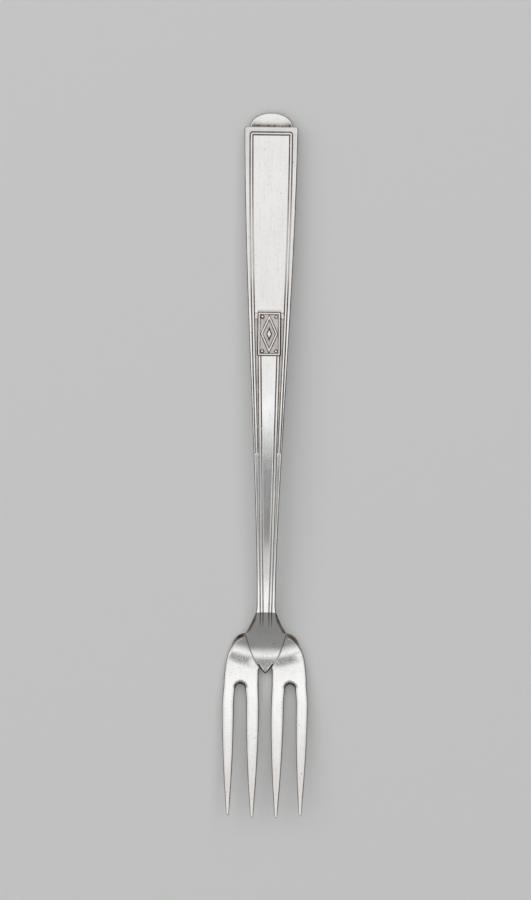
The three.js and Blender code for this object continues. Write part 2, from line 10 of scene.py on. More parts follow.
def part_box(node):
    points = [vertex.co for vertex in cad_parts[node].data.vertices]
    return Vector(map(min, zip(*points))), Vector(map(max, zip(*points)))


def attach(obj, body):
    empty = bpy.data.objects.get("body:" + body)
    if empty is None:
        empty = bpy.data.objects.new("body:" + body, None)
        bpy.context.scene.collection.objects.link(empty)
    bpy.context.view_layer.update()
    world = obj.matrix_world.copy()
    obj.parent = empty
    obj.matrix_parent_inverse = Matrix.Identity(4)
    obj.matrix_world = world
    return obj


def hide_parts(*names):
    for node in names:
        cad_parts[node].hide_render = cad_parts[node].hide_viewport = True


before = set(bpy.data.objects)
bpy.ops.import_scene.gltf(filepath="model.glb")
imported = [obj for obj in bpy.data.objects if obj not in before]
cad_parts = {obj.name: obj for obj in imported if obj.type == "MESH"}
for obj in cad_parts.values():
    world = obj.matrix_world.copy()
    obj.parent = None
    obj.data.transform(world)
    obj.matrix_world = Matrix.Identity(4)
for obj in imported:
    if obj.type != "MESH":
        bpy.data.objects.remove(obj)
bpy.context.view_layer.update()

MM = 0.001

# Lengths along the fork in millimetres, in order from the tine tips, as the solids have them
SLOT_DEPTH = 34.1
HEAD_LENGTH = 13.0
NECK_LENGTH = 5.4
STEM_LENGTH = 40.0
CHANNEL_LENGTH = 25.5
PLAQUE_LENGTH = 10.9
PANEL_LENGTH = 47.5
TAB_HEIGHT = 3.6

# Widths of the handle and neck
HANDLE_END_WIDTH = 13.7
STEM_WIDTH = 4.72
END_HOLD = 46.4
END_TAPER = 0.55
STEM_HOLD = 32.5
NECK_WIDTH = 10.4
FLARE_LEAD = 1.6
NECK_HOLD = 2.2

# Tines, shoulders and tongue
TINE_PITCH = 6.3
TIP_PITCH = 6.15
INNER_TINE_WIDTH = 3.3
OUTER_TINE_WIDTH = 3.05
OUTER_TINE_SHORT = 0.6
TINE_TIP_WIDTH = 0.65
TINE_TAPER_POWER = 1.9
SLOT_TOP_WIDTH = 2.5
SLOT_FLARE = 6.0
CENTRE_SLOT_WIDTH = 3.4
HEAD_WIDTH = 21.2
TINE_BULGE = 0.375
SHOULDER_BULGE = 3.5
SHOULDER_DROP = 7.3
SHOULDER_FLARE = 0.2
FLANK_SWELL = 0.3
FLANK_RUN = 3.0
TONGUE_LENGTH = 10.3
TONGUE_BELLY = 3.3
TONGUE_BELLY_RISE = 2.8
LAP = 1.2
NECK_OVERLAP = 1.0

# Thicknesses and side profile
HANDLE_THICKNESS = 4.4
STEM_THICKNESS = 3.6
SHOULDER_THICKNESS = 2.2
TINE_ROOT_THICKNESS = 2.0
TINE_TIP_THICKNESS = 1.0
WALL = 0.9
HANDLE_TILT = 3.0
MOUTH_TILT = 7.5
CREST_FROM_MOUTH = 30.0
CREST_RUN = 22.0
BOTTOM_FROM_SHOULDER = 7.2
NECK_TURN = 4.2
TINE_TURN = 2.5
TINE_TILT = 5.5
TIP_TILT = 10.0
DISH = 0.024

# Struck relief of the front
CROWN = 0.08
BORDER_AT_END = 1.8
BORDER_AT_FOOT = 0.75
BEAD_WIDTH = 0.4
GROOVE_WIDTH = 0.3
GROOVE_DEPTH = 0.25
CHANNEL_DEPTH = 0.35
STRIP_AT_PLAQUE = 4.8
STRIP_AT_MOUTH = 2.2
GROOVE_FADE = 4.2

# Plaque, tang, end tab and the gaps between pieces
PLAQUE_WIDTH = 5.6
POCKET_DEPTH = 0.5
PLAQUE_BASE = 0.15
PLAQUE_FRAME = 0.42
LOZENGE_LINE = 0.4
LOZENGE_MARGIN = 0.25
BOSS_WIDTH = 1.1
BOSS_LENGTH = 2.6
PELLET_RADIUS = 0.36
PELLET_INSET = 0.62
TANG_WIDTH = 2.9
TANG_LENGTH = 52.0
TANG_POINT = 12.0
TANG_POINT_WIDTH = 1.2
TANG_CLEARANCE = 0.12
TAB_WIDTH = 11.0
TAB_PLUG = 8.0
SOLDER_GAP = 0.1

# Softened edges and seams that only the dressed pieces have
SKIN = 0.03
EDGE_ROUND = 0.35
END_ROUND = 0.8
END_FALL = 0.4
TINE_ROUND = 0.4
FLANK_ROUND = 0.35
SHOULDER_ROUND = 0.7
SEAM_ROUND = 0.04
SEAM_GAP = 0.06
SEAM_TAPER = 1.5
CORNER_TAPER = 0.8
SEAM_LINE = 0.07
HAIRLINE = 0.015
EDGE_LINE = 0.08
TONGUE_ROUND = 0.8
TONGUE_LEVEL = 0.4
POINT_LENGTH = 2.5
POINT_ROUND = 2.2
POINT_RIM = 0.4
POINT_RISE = 0.02
NECK_ROUND = 0.9
NECK_ROUND_RUN = 2.0
SLOT_ROUND = 0.6
PAIR_MIDDLE = 5.9
PILLOW = 0.0175
PILLOW_FROM_SLOT = 2.0
PILLOW_SLOT_RUN = 6.0
PILLOW_FROM_SHOULDER = 3.0
PILLOW_SHOULDER_RUN = 4.0
ROUND_STARTS = 4.5
ROUND_ENDS = 0.5
TAB_ROUND = 0.3
TAB_DOME = 0.25
BACK_ROUND = 1.1
TANG_CORNER = 0.2
HEEL_ROUND = 0.3
FLARE_UNDERCUT = 0.03
TOLERANCE = 0.01

# Softened relief of the handle, neck and plaque
FRAME_CORNER = 0.35
BORDER_FALL = 0.12
STRIP_CROWN = 0.04
TICK_RUN = 1.1
LINE_RUN = 0.35
GROOVE_SHARE = 0.38
CHANNEL_FROM_BEAD = 0.3
CHANNEL_FROM_STRIP = 0.1
CHANNEL_WALL = 0.16
CHANNEL_HEAD = 1.8
BORDER_INSET = 0.5
STRIP_FADE = 16.0
FADE_POWER = 0.4
RIDGE_SOFT = 0.03
BOSS_SLOPE = 0.35
RIDGE_GAIN = 1.8

# How finely the pieces are divided
SHARP_ANGLE = 38.0
EDGE_STEPS = 6
PLATE_SPACING = 0.45
OUTLINE_SPACING = 0.3
FINE_SPACING = 0.25
PLUG_SPACING = 0.4

# How stained a place is, or how dark its painted shade, from 0 where it is polished to 1 where it is black
# Painted shade that draws dark outlines along the rounded edges of the tines and the tab
PAINTED_EDGE_SHADE = 0.5
# Painted shade that draws dark outlines along the handle's rounded edges
PAINTED_HANDLE_EDGE_SHADE = 0.8
# Painted shade on the shoulders' rounded edges and walls, standing in for their dark reflection
PAINTED_SHOULDER_SHADE = 0.7
# Painted shade in a dark crescent round the top of each side slot
PAINTED_SLOT_SHADE = 0.95
SEAM_STAIN = 1.0
SIDE_STAIN = 0.1
BACK_STAIN = 0.05
WALL_SHARE = 0.35
UNDER_SHARE = 0.2
# Share of the painted edge shade and the seam's dark line that fades out over the top of a rounded edge
TOP_FADE = 0.6
CHANNEL_STAIN = 0.36
FRAME_STAIN = 0.75
WORN_STAIN = 0.25
STRIP_STAIN = 0.42
FLARE_STAIN = 0.75
# Painted shade along the flare's rounded rim
PAINTED_FLARE_RIM_SHADE = 1.0
FLARE_HAZE = 0.15
# Dark joint line where the tab meets the shells, with a painted shadow of the shells' end spreading up the
# tab
TAB_JOINT_AND_SHADOW = 0.8
HALO = 0.18
END_HALO = 0.23
PANEL_HAZE = 0.15
STRIP_HAZE = 0.11
TAB_HAZE = 0.15
TINE_HAZE = 0.3
GROUND_STAIN = 0.15
RIDGE_WEAR = 2.5

# How far the stains and the painted shade reach, and over what lengths they change
TAB_SHADOW_REACH = 0.6
PLAQUE_HALO = 0.09
GROUND_REACH = 1.9
RUB_REACH = 5.0
SLOT_SHADE_REACH = 1.0
SLOT_SHADE_FROM = 1.3
SLOT_SHADE_RUN = 1.4
SHOULDER_SHADE_FROM = 2.5
SHOULDER_SHADE_RUN = 4.0
# Lengths over which the painted shadow at the tongue's point fades
POINT_SHADE_RUN = 0.4
RIM_SHADE_RUN = 0.3
WORN_FROM_PLAQUE = 6.0
WORN_FROM_END = 16.0
HALO_FROM_END = 16.0
FULL_HALO_FROM_END = 4.0
HALO_RUN = 1.5
PANEL_HAZE_RUN = 4.0
STRIP_HAZE_FROM = 11.0
STRIP_HAZE_RUN = 10.0
STRIP_STAIN_RUN = 10.0

# Stations along Y, with the tine tips at zero
SHOULDER = SLOT_DEPTH + HEAD_LENGTH
MOUTH = SHOULDER + NECK_LENGTH
CHANNEL_FOOT = MOUTH + STEM_LENGTH
PLAQUE_FOOT = CHANNEL_FOOT + CHANNEL_LENGTH
PLAQUE_TOP = PLAQUE_FOOT + PLAQUE_LENGTH
HANDLE_END = PLAQUE_TOP + PANEL_LENGTH
FORK_END = HANDLE_END + TAB_HEIGHT
BOTTOM = SHOULDER - BOTTOM_FROM_SHOULDER
TONGUE_TIP = SHOULDER - TONGUE_LENGTH
CREST = MOUTH + CREST_FROM_MOUTH
STRAIGHT = CREST + CREST_RUN
END_BEAD = HANDLE_END - BORDER_AT_END
PLAQUE_MIDDLE = (PLAQUE_FOOT + PLAQUE_TOP) / 2

Tine = namedtuple("Tine", "root_x width tip_y")
TINE_ROOT = SLOT_DEPTH - SLOT_FLARE
OUTER_TINE = Tine(HEAD_WIDTH / 2 + TINE_BULGE - OUTER_TINE_WIDTH / 2, OUTER_TINE_WIDTH, OUTER_TINE_SHORT)
INNER_TINE = Tine(TINE_PITCH / 2, INNER_TINE_WIDTH, 0.0)
SLOT_MIDDLE = (OUTER_TINE.root_x - OUTER_TINE.width / 2 + INNER_TINE.root_x + INNER_TINE.width / 2) / 2


def ramp(y, start, a, end, b):
    """Value that runs from a at start to b at end and holds beyond both."""
    return a + (b - a) * np.clip((y - start) / (end - start), 0, 1)


def smooth(t):
    t = np.clip(t, 0, 1)
    return t * t * (3 - 2 * t)


def rise(value, at, width):
    """Soft step from 0 to 1 that is half way at the given place."""
    return smooth((value - at) / width + 0.5)


def plate_thickness(y):
    tine = ramp(y, 0, TINE_TIP_THICKNESS, SLOT_DEPTH, TINE_ROOT_THICKNESS)
    head = ramp(y, SLOT_DEPTH, TINE_ROOT_THICKNESS, SHOULDER, SHOULDER_THICKNESS)
    return np.where(np.asarray(y) < SLOT_DEPTH, tine, head)


def slope(degrees):
    return math.tan(math.radians(degrees))


def bend(along, run):
    """Rise of a line that turns from level to a slope of one over a run, and then goes straight on."""
    turned = np.clip(along, 0, run)
    return turned**2 / (2 * run) + np.maximum(along - run, 0)


def tine_profile(along):
    """Rise of the tines out of the level bottom; after the turn they curve on to their tips."""
    risen = np.maximum(along - TINE_TURN, 0)
    curve = (slope(TIP_TILT) - slope(TINE_TILT)) / (2 * (BOTTOM - TINE_TURN))
    return slope(TINE_TILT) * bend(along, TINE_TURN) + curve * risen**2


def spine(y):
    """Side profile: height of the fork's middle surface along its centre line."""
    y = np.asarray(y, float)
    rest = (HANDLE_THICKNESS - float(plate_thickness(BOTTOM))) / 2
    crest = rest + (HANDLE_END - STRAIGHT + CREST_RUN / 2) * slope(HANDLE_TILT)
    mouth = crest - slope(MOUTH_TILT) * CREST_FROM_MOUTH / 2
    return np.select(
        [y >= STRAIGHT, y >= CREST, y >= MOUTH, y >= BOTTOM],
        [
            rest + (HANDLE_END - y) * slope(HANDLE_TILT),
            crest - slope(HANDLE_TILT) * (y - CREST) ** 2 / (2 * CREST_RUN),
            crest - slope(MOUTH_TILT) * (CREST - y) ** 2 / (2 * CREST_FROM_MOUTH),
            mouth * bend(y - BOTTOM, NECK_TURN) / bend(MOUTH - BOTTOM, NECK_TURN),
        ],
        tine_profile(BOTTOM - y),
    )


def height(x, y):
    """Height of the middle surface; the sides of the head bend earlier, and level out along the tines."""
    share = np.clip(np.minimum((MOUTH - y) / NECK_LENGTH, y / SLOT_DEPTH), 0, 1)
    return spine(y - DISH * x * x * share)


def bezier(*points, count=60):
    """Points along a Bezier curve of any degree."""
    t = np.linspace(0, 1, count + 1)[:, None]
    level = [np.array(p, float)[None, :] + 0 * t for p in points]
    while len(level) > 1:
        level = [a + (b - a) * t for a, b in zip(level, level[1:])]
    return level[0]


HANDLE_EDGE = bezier(
    (HANDLE_END_WIDTH / 2, HANDLE_END),
    (HANDLE_END_WIDTH / 2 - END_TAPER, HANDLE_END - END_HOLD),
    (STEM_WIDTH / 2, MOUTH + STEM_HOLD),
    (STEM_WIDTH / 2, MOUTH),
    count=400,
)
NECK_EDGE = bezier(
    (STEM_WIDTH / 2, MOUTH + FLARE_LEAD),
    (STEM_WIDTH / 2, MOUTH + FLARE_LEAD - NECK_HOLD),
    (NECK_WIDTH / 2, SHOULDER),
    count=200,
)


def half_width(y):
    handle = np.interp(y, HANDLE_EDGE[::-1, 1], HANDLE_EDGE[::-1, 0])
    neck = np.interp(y, NECK_EDGE[::-1, 1], NECK_EDGE[::-1, 0])
    return np.maximum(handle, neck)


def half_thickness(y):
    return ramp(y, MOUTH, STEM_THICKNESS, STRAIGHT, HANDLE_THICKNESS) / 2


def inner_bead(y):
    return ramp(y, MOUTH, STRIP_AT_MOUTH, PLAQUE_FOOT, STRIP_AT_PLAQUE) / 2


def outer_bead(y):
    return half_width(y) - ramp(y, CHANNEL_FOOT, BORDER_AT_FOOT, HANDLE_END, BORDER_AT_END)


# The solids were centred along Y and lifted onto the table, so the dressed pieces are too
MIDDLE = FORK_END / 2
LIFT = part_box("handle_back_shell")[0].z / MM - float(spine(HANDLE_END) - half_thickness(HANDLE_END))


def to_frame(points):
    """Points in millimetres from the tine tips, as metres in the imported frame."""
    return (np.asarray(points, float) + (0, -MIDDLE, LIFT)) * MM


def add_object(name, data):
    added = bpy.data.objects.new(name, data)
    bpy.context.collection.objects.link(added)
    return added


def add_piece(name, points, faces, stain, material, node):
    """A dressed piece that stands for a node, with how stained each of its points is and how dark its painted
    shade.
    """
    mesh = bpy.data.meshes.new(name)
    mesh.from_pydata(to_frame(points).tolist(), [], faces)
    layer = mesh.attributes.new("stain", "FLOAT", "POINT")
    layer.data.foreach_set("value", np.asarray(stain, np.float32))
    mesh.validate()
    mesh.update()
    mesh.shade_smooth()
    mesh.set_sharp_from_angle(angle=math.radians(SHARP_ANGLE))
    mesh.materials.append(material)
    piece = add_object(name, mesh)
    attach(piece, "root")
    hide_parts(node)
    return piece


def ring_faces(rows, columns):
    """Quads through rows of closed rings, with an end face on the first and last."""
    faces = []
    for i in range(rows - 1):
        for j in range(columns):
            a, b = i * columns + j, i * columns + (j + 1) % columns
            faces.append((a, a + columns, b + columns, b))
    faces.append(tuple(range(columns)))
    faces.append(tuple((rows - 1) * columns + j for j in reversed(range(columns))))
    return faces


# Relief of the handle's face

def bead_grooves(distance):
    """Depth of the two grooves beside a bead, by the distance from its centre line."""
    groove = (BEAD_WIDTH + GROOVE_WIDTH) / 2
    return np.exp(-(((np.abs(distance) - groove) / (GROOVE_SHARE * GROOVE_WIDTH)) ** 2))


def outer_distance(x, y):
    """Distance outside the outer bead: an upside-down U with rounded corners."""
    across = np.abs(x) - outer_bead(y) + FRAME_CORNER
    along = y - END_BEAD + FRAME_CORNER
    outside = np.hypot(np.maximum(across, 0), np.maximum(along, 0))
    return outside + np.minimum(np.maximum(across, along), 0) - FRAME_CORNER


def side_channel(x, y, out):
    """Sunk channel between the outer bead and the inner bead or the plaque."""
    beside_plaque = PLAQUE_WIDTH / 2 + SOLDER_GAP
    wall = np.where(y > PLAQUE_FOOT, beside_plaque, inner_bead(y) + BEAD_WIDTH / 2)
    from_bead = rise(-out, CHANNEL_FROM_BEAD, CHANNEL_WALL)
    from_strip = rise(np.abs(x) - wall, CHANNEL_FROM_STRIP, CHANNEL_WALL)
    foot = rise(y, CHANNEL_FOOT + TICK_RUN / 2, TICK_RUN)
    head = rise(y, PLAQUE_TOP - CHANNEL_HEAD / 2, CHANNEL_HEAD)
    return from_bead * from_strip * foot * (1 - head)


def above_foot(y):
    """Soft step up at the foot of the channels, where the frame and its border start."""
    return rise(y, CHANNEL_FOOT + TICK_RUN / 2, LINE_RUN)


def crown(x, y):
    return CROWN * (x / half_width(y)) ** 2


def soft_fall(x, y):
    """Fall of the border to the edge, of the strip to its beads, and of the whole crowned face."""
    border_start = outer_bead(y) + BORDER_INSET
    on_border = (np.abs(x) - border_start) / (half_width(y) - border_start)
    border = np.clip(on_border, 0, 1) ** 2 * above_foot(y)
    below_plaque = 1 - rise(y, PLAQUE_FOOT - STRIP_FADE / 2, STRIP_FADE)
    strip = np.clip(np.abs(x) / inner_bead(y), 0, 1) ** 3 * below_plaque
    return BORDER_FALL * border + STRIP_CROWN * strip + crown(x, y)


def frame_stain(y):
    """Stain of the frame's grooves, which are worn along the sides of the panel."""
    from_plaque = rise(y, PLAQUE_TOP + WORN_FROM_PLAQUE, 2 * WORN_FROM_PLAQUE)
    to_end = 1 - rise(y, END_BEAD - WORN_FROM_END, 1.25 * WORN_FROM_END)
    return FRAME_STAIN + (WORN_STAIN - FRAME_STAIN) * (from_plaque * to_end)


def strip_stain(y):
    """Stain of the strip's grooves, which are paler on the stem."""
    return ramp(y, CHANNEL_FOOT - STRIP_STAIN_RUN, STRIP_STAIN, CHANNEL_FOOT + STRIP_STAIN_RUN, FRAME_STAIN)


def face_haze(y, out):
    """Faint haze of the panel, the border round it and the strip below the plaque."""
    halo = ramp(y, HANDLE_END - HALO_FROM_END, HALO, HANDLE_END - FULL_HALO_FROM_END, END_HALO)
    panel = rise(y, PLAQUE_TOP, PANEL_HAZE_RUN) * np.maximum(PANEL_HAZE, rise(out, 0, HALO_RUN) * halo)
    return np.maximum(panel, STRIP_HAZE * rise(y, PLAQUE_FOOT - STRIP_HAZE_FROM, STRIP_HAZE_RUN))


def face_relief(x, y):
    """Depth of the handle's face below its middle, and how stained it is."""
    out = outer_distance(x, y)
    channel = side_channel(x, y, out)
    frame_lines = bead_grooves(out) * above_foot(y)
    strip_lines = bead_grooves(np.abs(x) - inner_bead(y)) * (1 - rise(y, PLAQUE_FOOT, SOLDER_GAP))
    lines = np.maximum(frame_lines, strip_lines)
    depth = np.maximum(GROOVE_DEPTH * lines, CHANNEL_DEPTH * channel) + soft_fall(x, y)
    across, along = np.abs(x) - PLAQUE_WIDTH / 2, np.abs(y - PLAQUE_MIDDLE) - PLAQUE_LENGTH / 2
    beside = np.maximum(across, along) - SOLDER_GAP
    dirt_and_shade = [frame_stain(y) * frame_lines, strip_stain(y) * strip_lines, CHANNEL_STAIN * channel**4,
            np.exp(-np.maximum(beside, 0) / PLAQUE_HALO), face_haze(y, out)]
    return np.where(beside < 0, POCKET_DEPTH + crown(x, y), depth), np.max(dirt_and_shade, axis=0)


def stations(marks, counts):
    """Places from each mark to the next, as many as the counts say, and the last mark."""
    spans = [np.linspace(a, b, n, endpoint=False) for a, b, n in zip(marks, marks[1:], counts)]
    return np.concatenate(spans + [marks[-1:]])


def face_columns(edge, outer, inner):
    """Places across the right half of a face, from its edge to its middle, close together at the beads."""
    reach = 0.62
    gap = outer - inner
    marks = [edge, outer + min(reach, 0.9 * (edge - outer)), outer - min(reach, 0.45 * gap),
             (outer + inner) / 2, inner + min(reach, 0.45 * gap), inner - min(reach, 0.6 * inner), 0.0]
    return stations(marks, [5, 24, 8, 6, 24, 8])


def handle_rows():
    """Stations along the handle, close together where the relief changes along its length."""
    marks = [MOUTH, MOUTH + 0.4, CHANNEL_FOOT - 1, CHANNEL_FOOT + 1, PLAQUE_FOOT - 0.6, PLAQUE_FOOT + 0.2,
             PLAQUE_TOP - CHANNEL_HEAD, PLAQUE_TOP + 0.2, END_BEAD - 2, HANDLE_END]
    steps = [0.06, 0.6, 0.07, 0.6, 0.05, 0.5, 0.09, 0.8, 0.06]
    counts = [math.ceil((b - a) / step) for a, b, step in zip(marks, marks[1:], steps)]
    return stations(marks, counts)


# Quarter turn of a rounded edge from its side to its top, and the share of the painted edge shade across it:
# whole on its steep outer part and none on its inner part
QUARTER_TURN = np.linspace(0, math.pi / 2, EDGE_STEPS + 1)
SINES, COSINES = np.sin(QUARTER_TURN), np.cos(QUARTER_TURN)
EDGE_SHADE = smooth(2 - 3 * (1 - COSINES[:-1]))


def end_cut(y):
    """How far the worn corners of the handle's end are drawn in."""
    past = np.clip((y - HANDLE_END + END_ROUND) / END_ROUND, 0, 1)
    return END_ROUND * (1 - np.sqrt(1 - past**2 + 1e-9))


def mirrored(x, z, stain):
    """Section of the right half and then of the left, from one edge over the middle to the other."""
    right = np.column_stack([x, z, stain])
    return np.vstack([right, right[-2::-1] * (-1, 1, 1)])


def lofted(name, sections, material, node):
    """Piece through rings of (x, z, stain), given with the y of each."""
    points = [np.column_stack([ring[:, 0], np.full(len(ring), y), ring[:, 1]]) for y, ring in sections]
    stain = np.concatenate([ring[:, 2] for _, ring in sections])
    faces = ring_faces(len(sections), len(sections[0][1]))
    return add_piece(name, np.vstack(points), faces, stain, material, node)


def stained(points, stain):
    points = np.asarray(points, float)
    return np.column_stack([points, np.broadcast_to(stain, len(points))])


def seam_stain(y):
    """Stain along the seam of the two shells, which does not spread over their end faces."""
    return SEAM_STAIN if MOUTH < y < HANDLE_END else SIDE_STAIN


def hollow_half(y):
    """Half-width of the hollow in the handle, which is drawn in round the plug of the tab."""
    half = float(half_width(y)) - WALL
    return half if y < HANDLE_END - TAB_PLUG else min(half, TAB_WIDTH / 2 + SOLDER_GAP)


def front_section(y):
    """Ring of the front shell: its struck face, rounded edges, and the lining of its hollow."""
    cut = float(end_cut(y))
    edge = float(half_width(y)) - cut
    in_plaque = abs(y - PLAQUE_MIDDLE) < PLAQUE_LENGTH / 2 + SOLDER_GAP
    inner = PLAQUE_WIDTH / 2 + SOLDER_GAP if in_plaque else float(inner_bead(y))
    flat = edge - EDGE_ROUND
    outer = float(outer_bead(y)) if y >= CHANNEL_FOOT else (flat + inner) / 2
    columns = face_columns(flat, outer, inner)
    depth, stain = face_relief(columns, np.full_like(columns, y))
    x = np.concatenate([flat + EDGE_ROUND * COSINES[:-1], columns])
    down = np.concatenate([depth[0] + EDGE_ROUND * (1 - SINES[:-1]), depth]) + END_FALL * cut
    # Painted shade darkens the rounded edges; the face keeps the stains of its relief
    dirt_and_shade = np.concatenate([PAINTED_HANDLE_EDGE_SHADE * EDGE_SHADE, stain])
    level = float(spine(y) + half_thickness(y))
    top, roof = level - SKIN, level - WALL
    seam = float(spine(y)) + HAIRLINE
    lining = hollow_half(y)
    face = mirrored(x, top - down, dirt_and_shade)
    wall_top = top - float(down[0]) - EDGE_LINE
    wall = [(edge, seam + SEAM_LINE, SIDE_STAIN), (edge, wall_top, SIDE_STAIN)]
    right = np.array([(edge, seam, seam_stain(y)), *wall])
    left = right[::-1] * (-1, 1, 1)
    hollow = [(-lining, seam), (-lining, roof), (lining, roof), (lining, seam)]
    return np.vstack([right, face, left, stained(hollow, SIDE_STAIN)])


def back_section(y):
    """Ring of the plain back shell, with a flat back, well rounded edges and the lining of its hollow."""
    cut = float(end_cut(y))
    edge = float(half_width(y)) - cut
    level = float(spine(y) - half_thickness(y))
    low, roof = level + END_FALL * cut + SKIN, level + WALL
    seam = float(spine(y)) - HAIRLINE
    corner = min(BACK_ROUND, 0.45 * edge)
    flat = edge - corner
    across = np.linspace(-1, 1, 31)
    bottom = np.column_stack([across * flat, np.full(31, low)])
    bend = np.column_stack([flat + corner * SINES[1:], low + corner * (1 - COSINES[1:])])
    left_bend = (bend * (-1, 1))[::-1]
    lining = hollow_half(y)
    right = np.array([(edge, seam - SEAM_LINE, SIDE_STAIN), (edge, seam, seam_stain(y))])
    left = right[::-1] * (-1, 1, 1)
    hollow = [(lining, seam), (lining, roof), (-lining, roof), (-lining, seam)]
    back = np.vstack([stained(left_bend, SIDE_STAIN), stained(bottom, BACK_STAIN), stained(bend, SIDE_STAIN)])
    return np.vstack([left, back, right, stained(hollow, SIDE_STAIN)])


def handle_shells(material):
    lofted("front_shell", [(y, front_section(y)) for y in handle_rows()], material, "handle_front_shell")
    rows = stations([MOUTH, MOUTH + 0.1, HANDLE_END - END_ROUND, HANDLE_END], [1, 154, 16])
    lofted("back_shell", [(y, back_section(y)) for y in rows], material, "handle_back_shell")


# Head plates with rounded edges

def inward_normals(outline):
    """Unit normals that point into an anticlockwise outline."""
    along = np.roll(outline, -1, 0) - np.roll(outline, 1, 0)
    along = along / np.maximum(np.linalg.norm(along, axis=1), 1e-9)[:, None]
    return np.column_stack([-along[:, 1], along[:, 0]])


def resample(path, spacing):
    """Points at an even spacing along an open path, with both ends kept."""
    steps = np.linalg.norm(np.diff(path, axis=0), axis=1)
    at = np.concatenate([[0], np.cumsum(steps)])
    places = np.linspace(0, at[-1], max(1, round(at[-1] / spacing)) + 1)
    return np.column_stack([np.interp(places, at, path[:, k]) for k in (0, 1)])


def inside_outline(points, outline):
    """Which points lie inside an outline."""
    x, y = points[:, 0][:, None], points[:, 1][:, None]
    x0, y0 = outline[:, 0][None], outline[:, 1][None]
    x1, y1 = np.roll(outline[:, 0], -1)[None], np.roll(outline[:, 1], -1)[None]
    crosses = (y0 > y) != (y1 > y)
    at = x0 + (y - y0) * (x1 - x0) / np.where(y1 == y0, 1e-12, y1 - y0)
    return (np.sum(crosses & (x < at), axis=1) % 2) == 1


def fill_points(outline, spacing):
    """Points of an even grid well inside an outline."""
    low, high = outline.min(0), outline.max(0)
    across = np.arange(low[0], high[0], spacing)
    rows = np.arange(low[1], high[1], spacing * 0.866)
    shifts = 0.5 * spacing * (np.arange(len(rows)) % 2)
    grid = np.column_stack([(across[None] + shifts[:, None]).ravel(), np.repeat(rows, len(across))])
    grid = grid[inside_outline(grid, outline)]
    apart = np.min(np.linalg.norm(grid[:, None] - outline[None], axis=2), axis=1)
    return grid[apart > 0.55 * spacing]


def triangulate(outline, inner):
    """Triangles over an outline and the points inside it, anticlockwise, by their places in both lists."""
    flat = [Vector(p) for p in np.vstack([outline, inner])]
    found = geometry.delaunay_2d_cdt(flat, [], [list(range(len(outline)))], 1, 1e-7)
    source = [ids[0] for ids in found[3]]
    return [tuple(source[v] for v in face) for face in found[2]]


# Edge of a plate: its upper and lower outlines, and the rounding, stains and painted shade at each of their
# points
PlateEdge = namedtuple("PlateEdge", "top bottom radii stain wall_stain")


def plate(name, edge, face, back, face_stain_and_shadow, spacing, material, node):
    """Plate with rounded edges. face and back give the heights of its two sides, the third function how
    stained they are, with painted shadow on the tab, and spacing how far apart their points lie."""
    top, bottom, radii, stain, wall = edge
    count = len(top)
    top_in, bottom_in = inward_normals(top), inward_normals(bottom)
    layers = []
    for s, c in zip(SINES[::-1], COSINES[::-1]):
        plan = bottom + bottom_in * (radii * (1 - c))[:, None]
        layers.append((plan, back(*plan.T) + radii * (1 - s), UNDER_SHARE * stain))
    layers.append((bottom, (face(*bottom.T) + back(*bottom.T)) / 2 - HAIRLINE, wall))
    layers.append((top, (face(*top.T) + back(*top.T)) / 2 + HAIRLINE, wall))
    # Over the top of the rounding the painted edge shade fades out towards the face
    for s, c in zip(SINES, COSINES):
        plan = top + top_in * (radii * (1 - c))[:, None]
        layers.append((plan, face(*plan.T) - radii * (1 - s), stain * (1 - TOP_FADE * s**4)))
    points = [np.column_stack([plan, z]) for plan, z, _ in layers]
    dirt_and_shade = [layer for _, _, layer in layers]
    faces = []
    for low in range(len(layers) - 1):
        for j in range(count):
            a, b = low * count + j, low * count + (j + 1) % count
            faces.append((a, b, b + count, a + count))
    first = len(layers) * count
    for start, side, order in (((len(layers) - 1) * count, face, 1), (0, back, -1)):
        outline = layers[start // count][0]
        inner = fill_points(outline, spacing)
        points.append(np.column_stack([inner, side(*inner.T)]))
        dirt_and_shade.append(face_stain_and_shadow(*inner.T))
        places = list(range(start, start + count)) + list(range(first, first + len(inner)))
        faces += [tuple(places[v] for v in triangle[::order]) for triangle in triangulate(outline, inner)]
        first += len(inner)
    return add_piece(name, np.vstack(points), faces, np.concatenate(dirt_and_shade), material, node)


def pillow(x, y, middle):
    """Fall of the softly rounded face of the head from the middle of a piece to its sides."""
    above_slot = rise(y, SLOT_DEPTH - PILLOW_FROM_SLOT, PILLOW_SLOT_RUN)
    below_shoulder = 1 - rise(y, SHOULDER - PILLOW_FROM_SHOULDER, PILLOW_SHOULDER_RUN)
    return PILLOW * (np.abs(x) - middle) ** 2 * (above_slot * below_shoulder)


def pair_face(x, y):
    return height(x, y) + plate_thickness(y) / 2 - pillow(x, y, PAIR_MIDDLE) - SKIN


def pair_back(x, y):
    return height(x, y) - plate_thickness(y) / 2 + SKIN


def tine_haze(x, y):
    return TINE_HAZE * np.clip(1 - y / SLOT_DEPTH, 0, 1)


def lean(x, y):
    """How far back the upper edge of a bent plate stands, because its walls are square to its face."""
    step = 0.1
    fall = (height(x, y + step) - height(x, y - step)) / (2 * step)
    return fall * plate_thickness(y)


def tine_half(tine, y):
    """Half-width of a tine at y; its taper quickens towards the tip."""
    t = ramp(y, TINE_ROOT, 0, tine.tip_y, 1)
    return (tine.width + (TINE_TIP_WIDTH - tine.width) * t**TINE_TAPER_POWER) / 2


def tine_side(tine, side):
    """One side of a tine in plan, from its root to its rounded tip."""
    y = np.linspace(TINE_ROOT, tine.tip_y + TINE_TIP_WIDTH / 2, 60)
    middle = ramp(y, TINE_ROOT, tine.root_x, tine.tip_y, tine.root_x * TIP_PITCH / TINE_PITCH)
    return np.column_stack([middle + side * tine_half(tine, y), y])


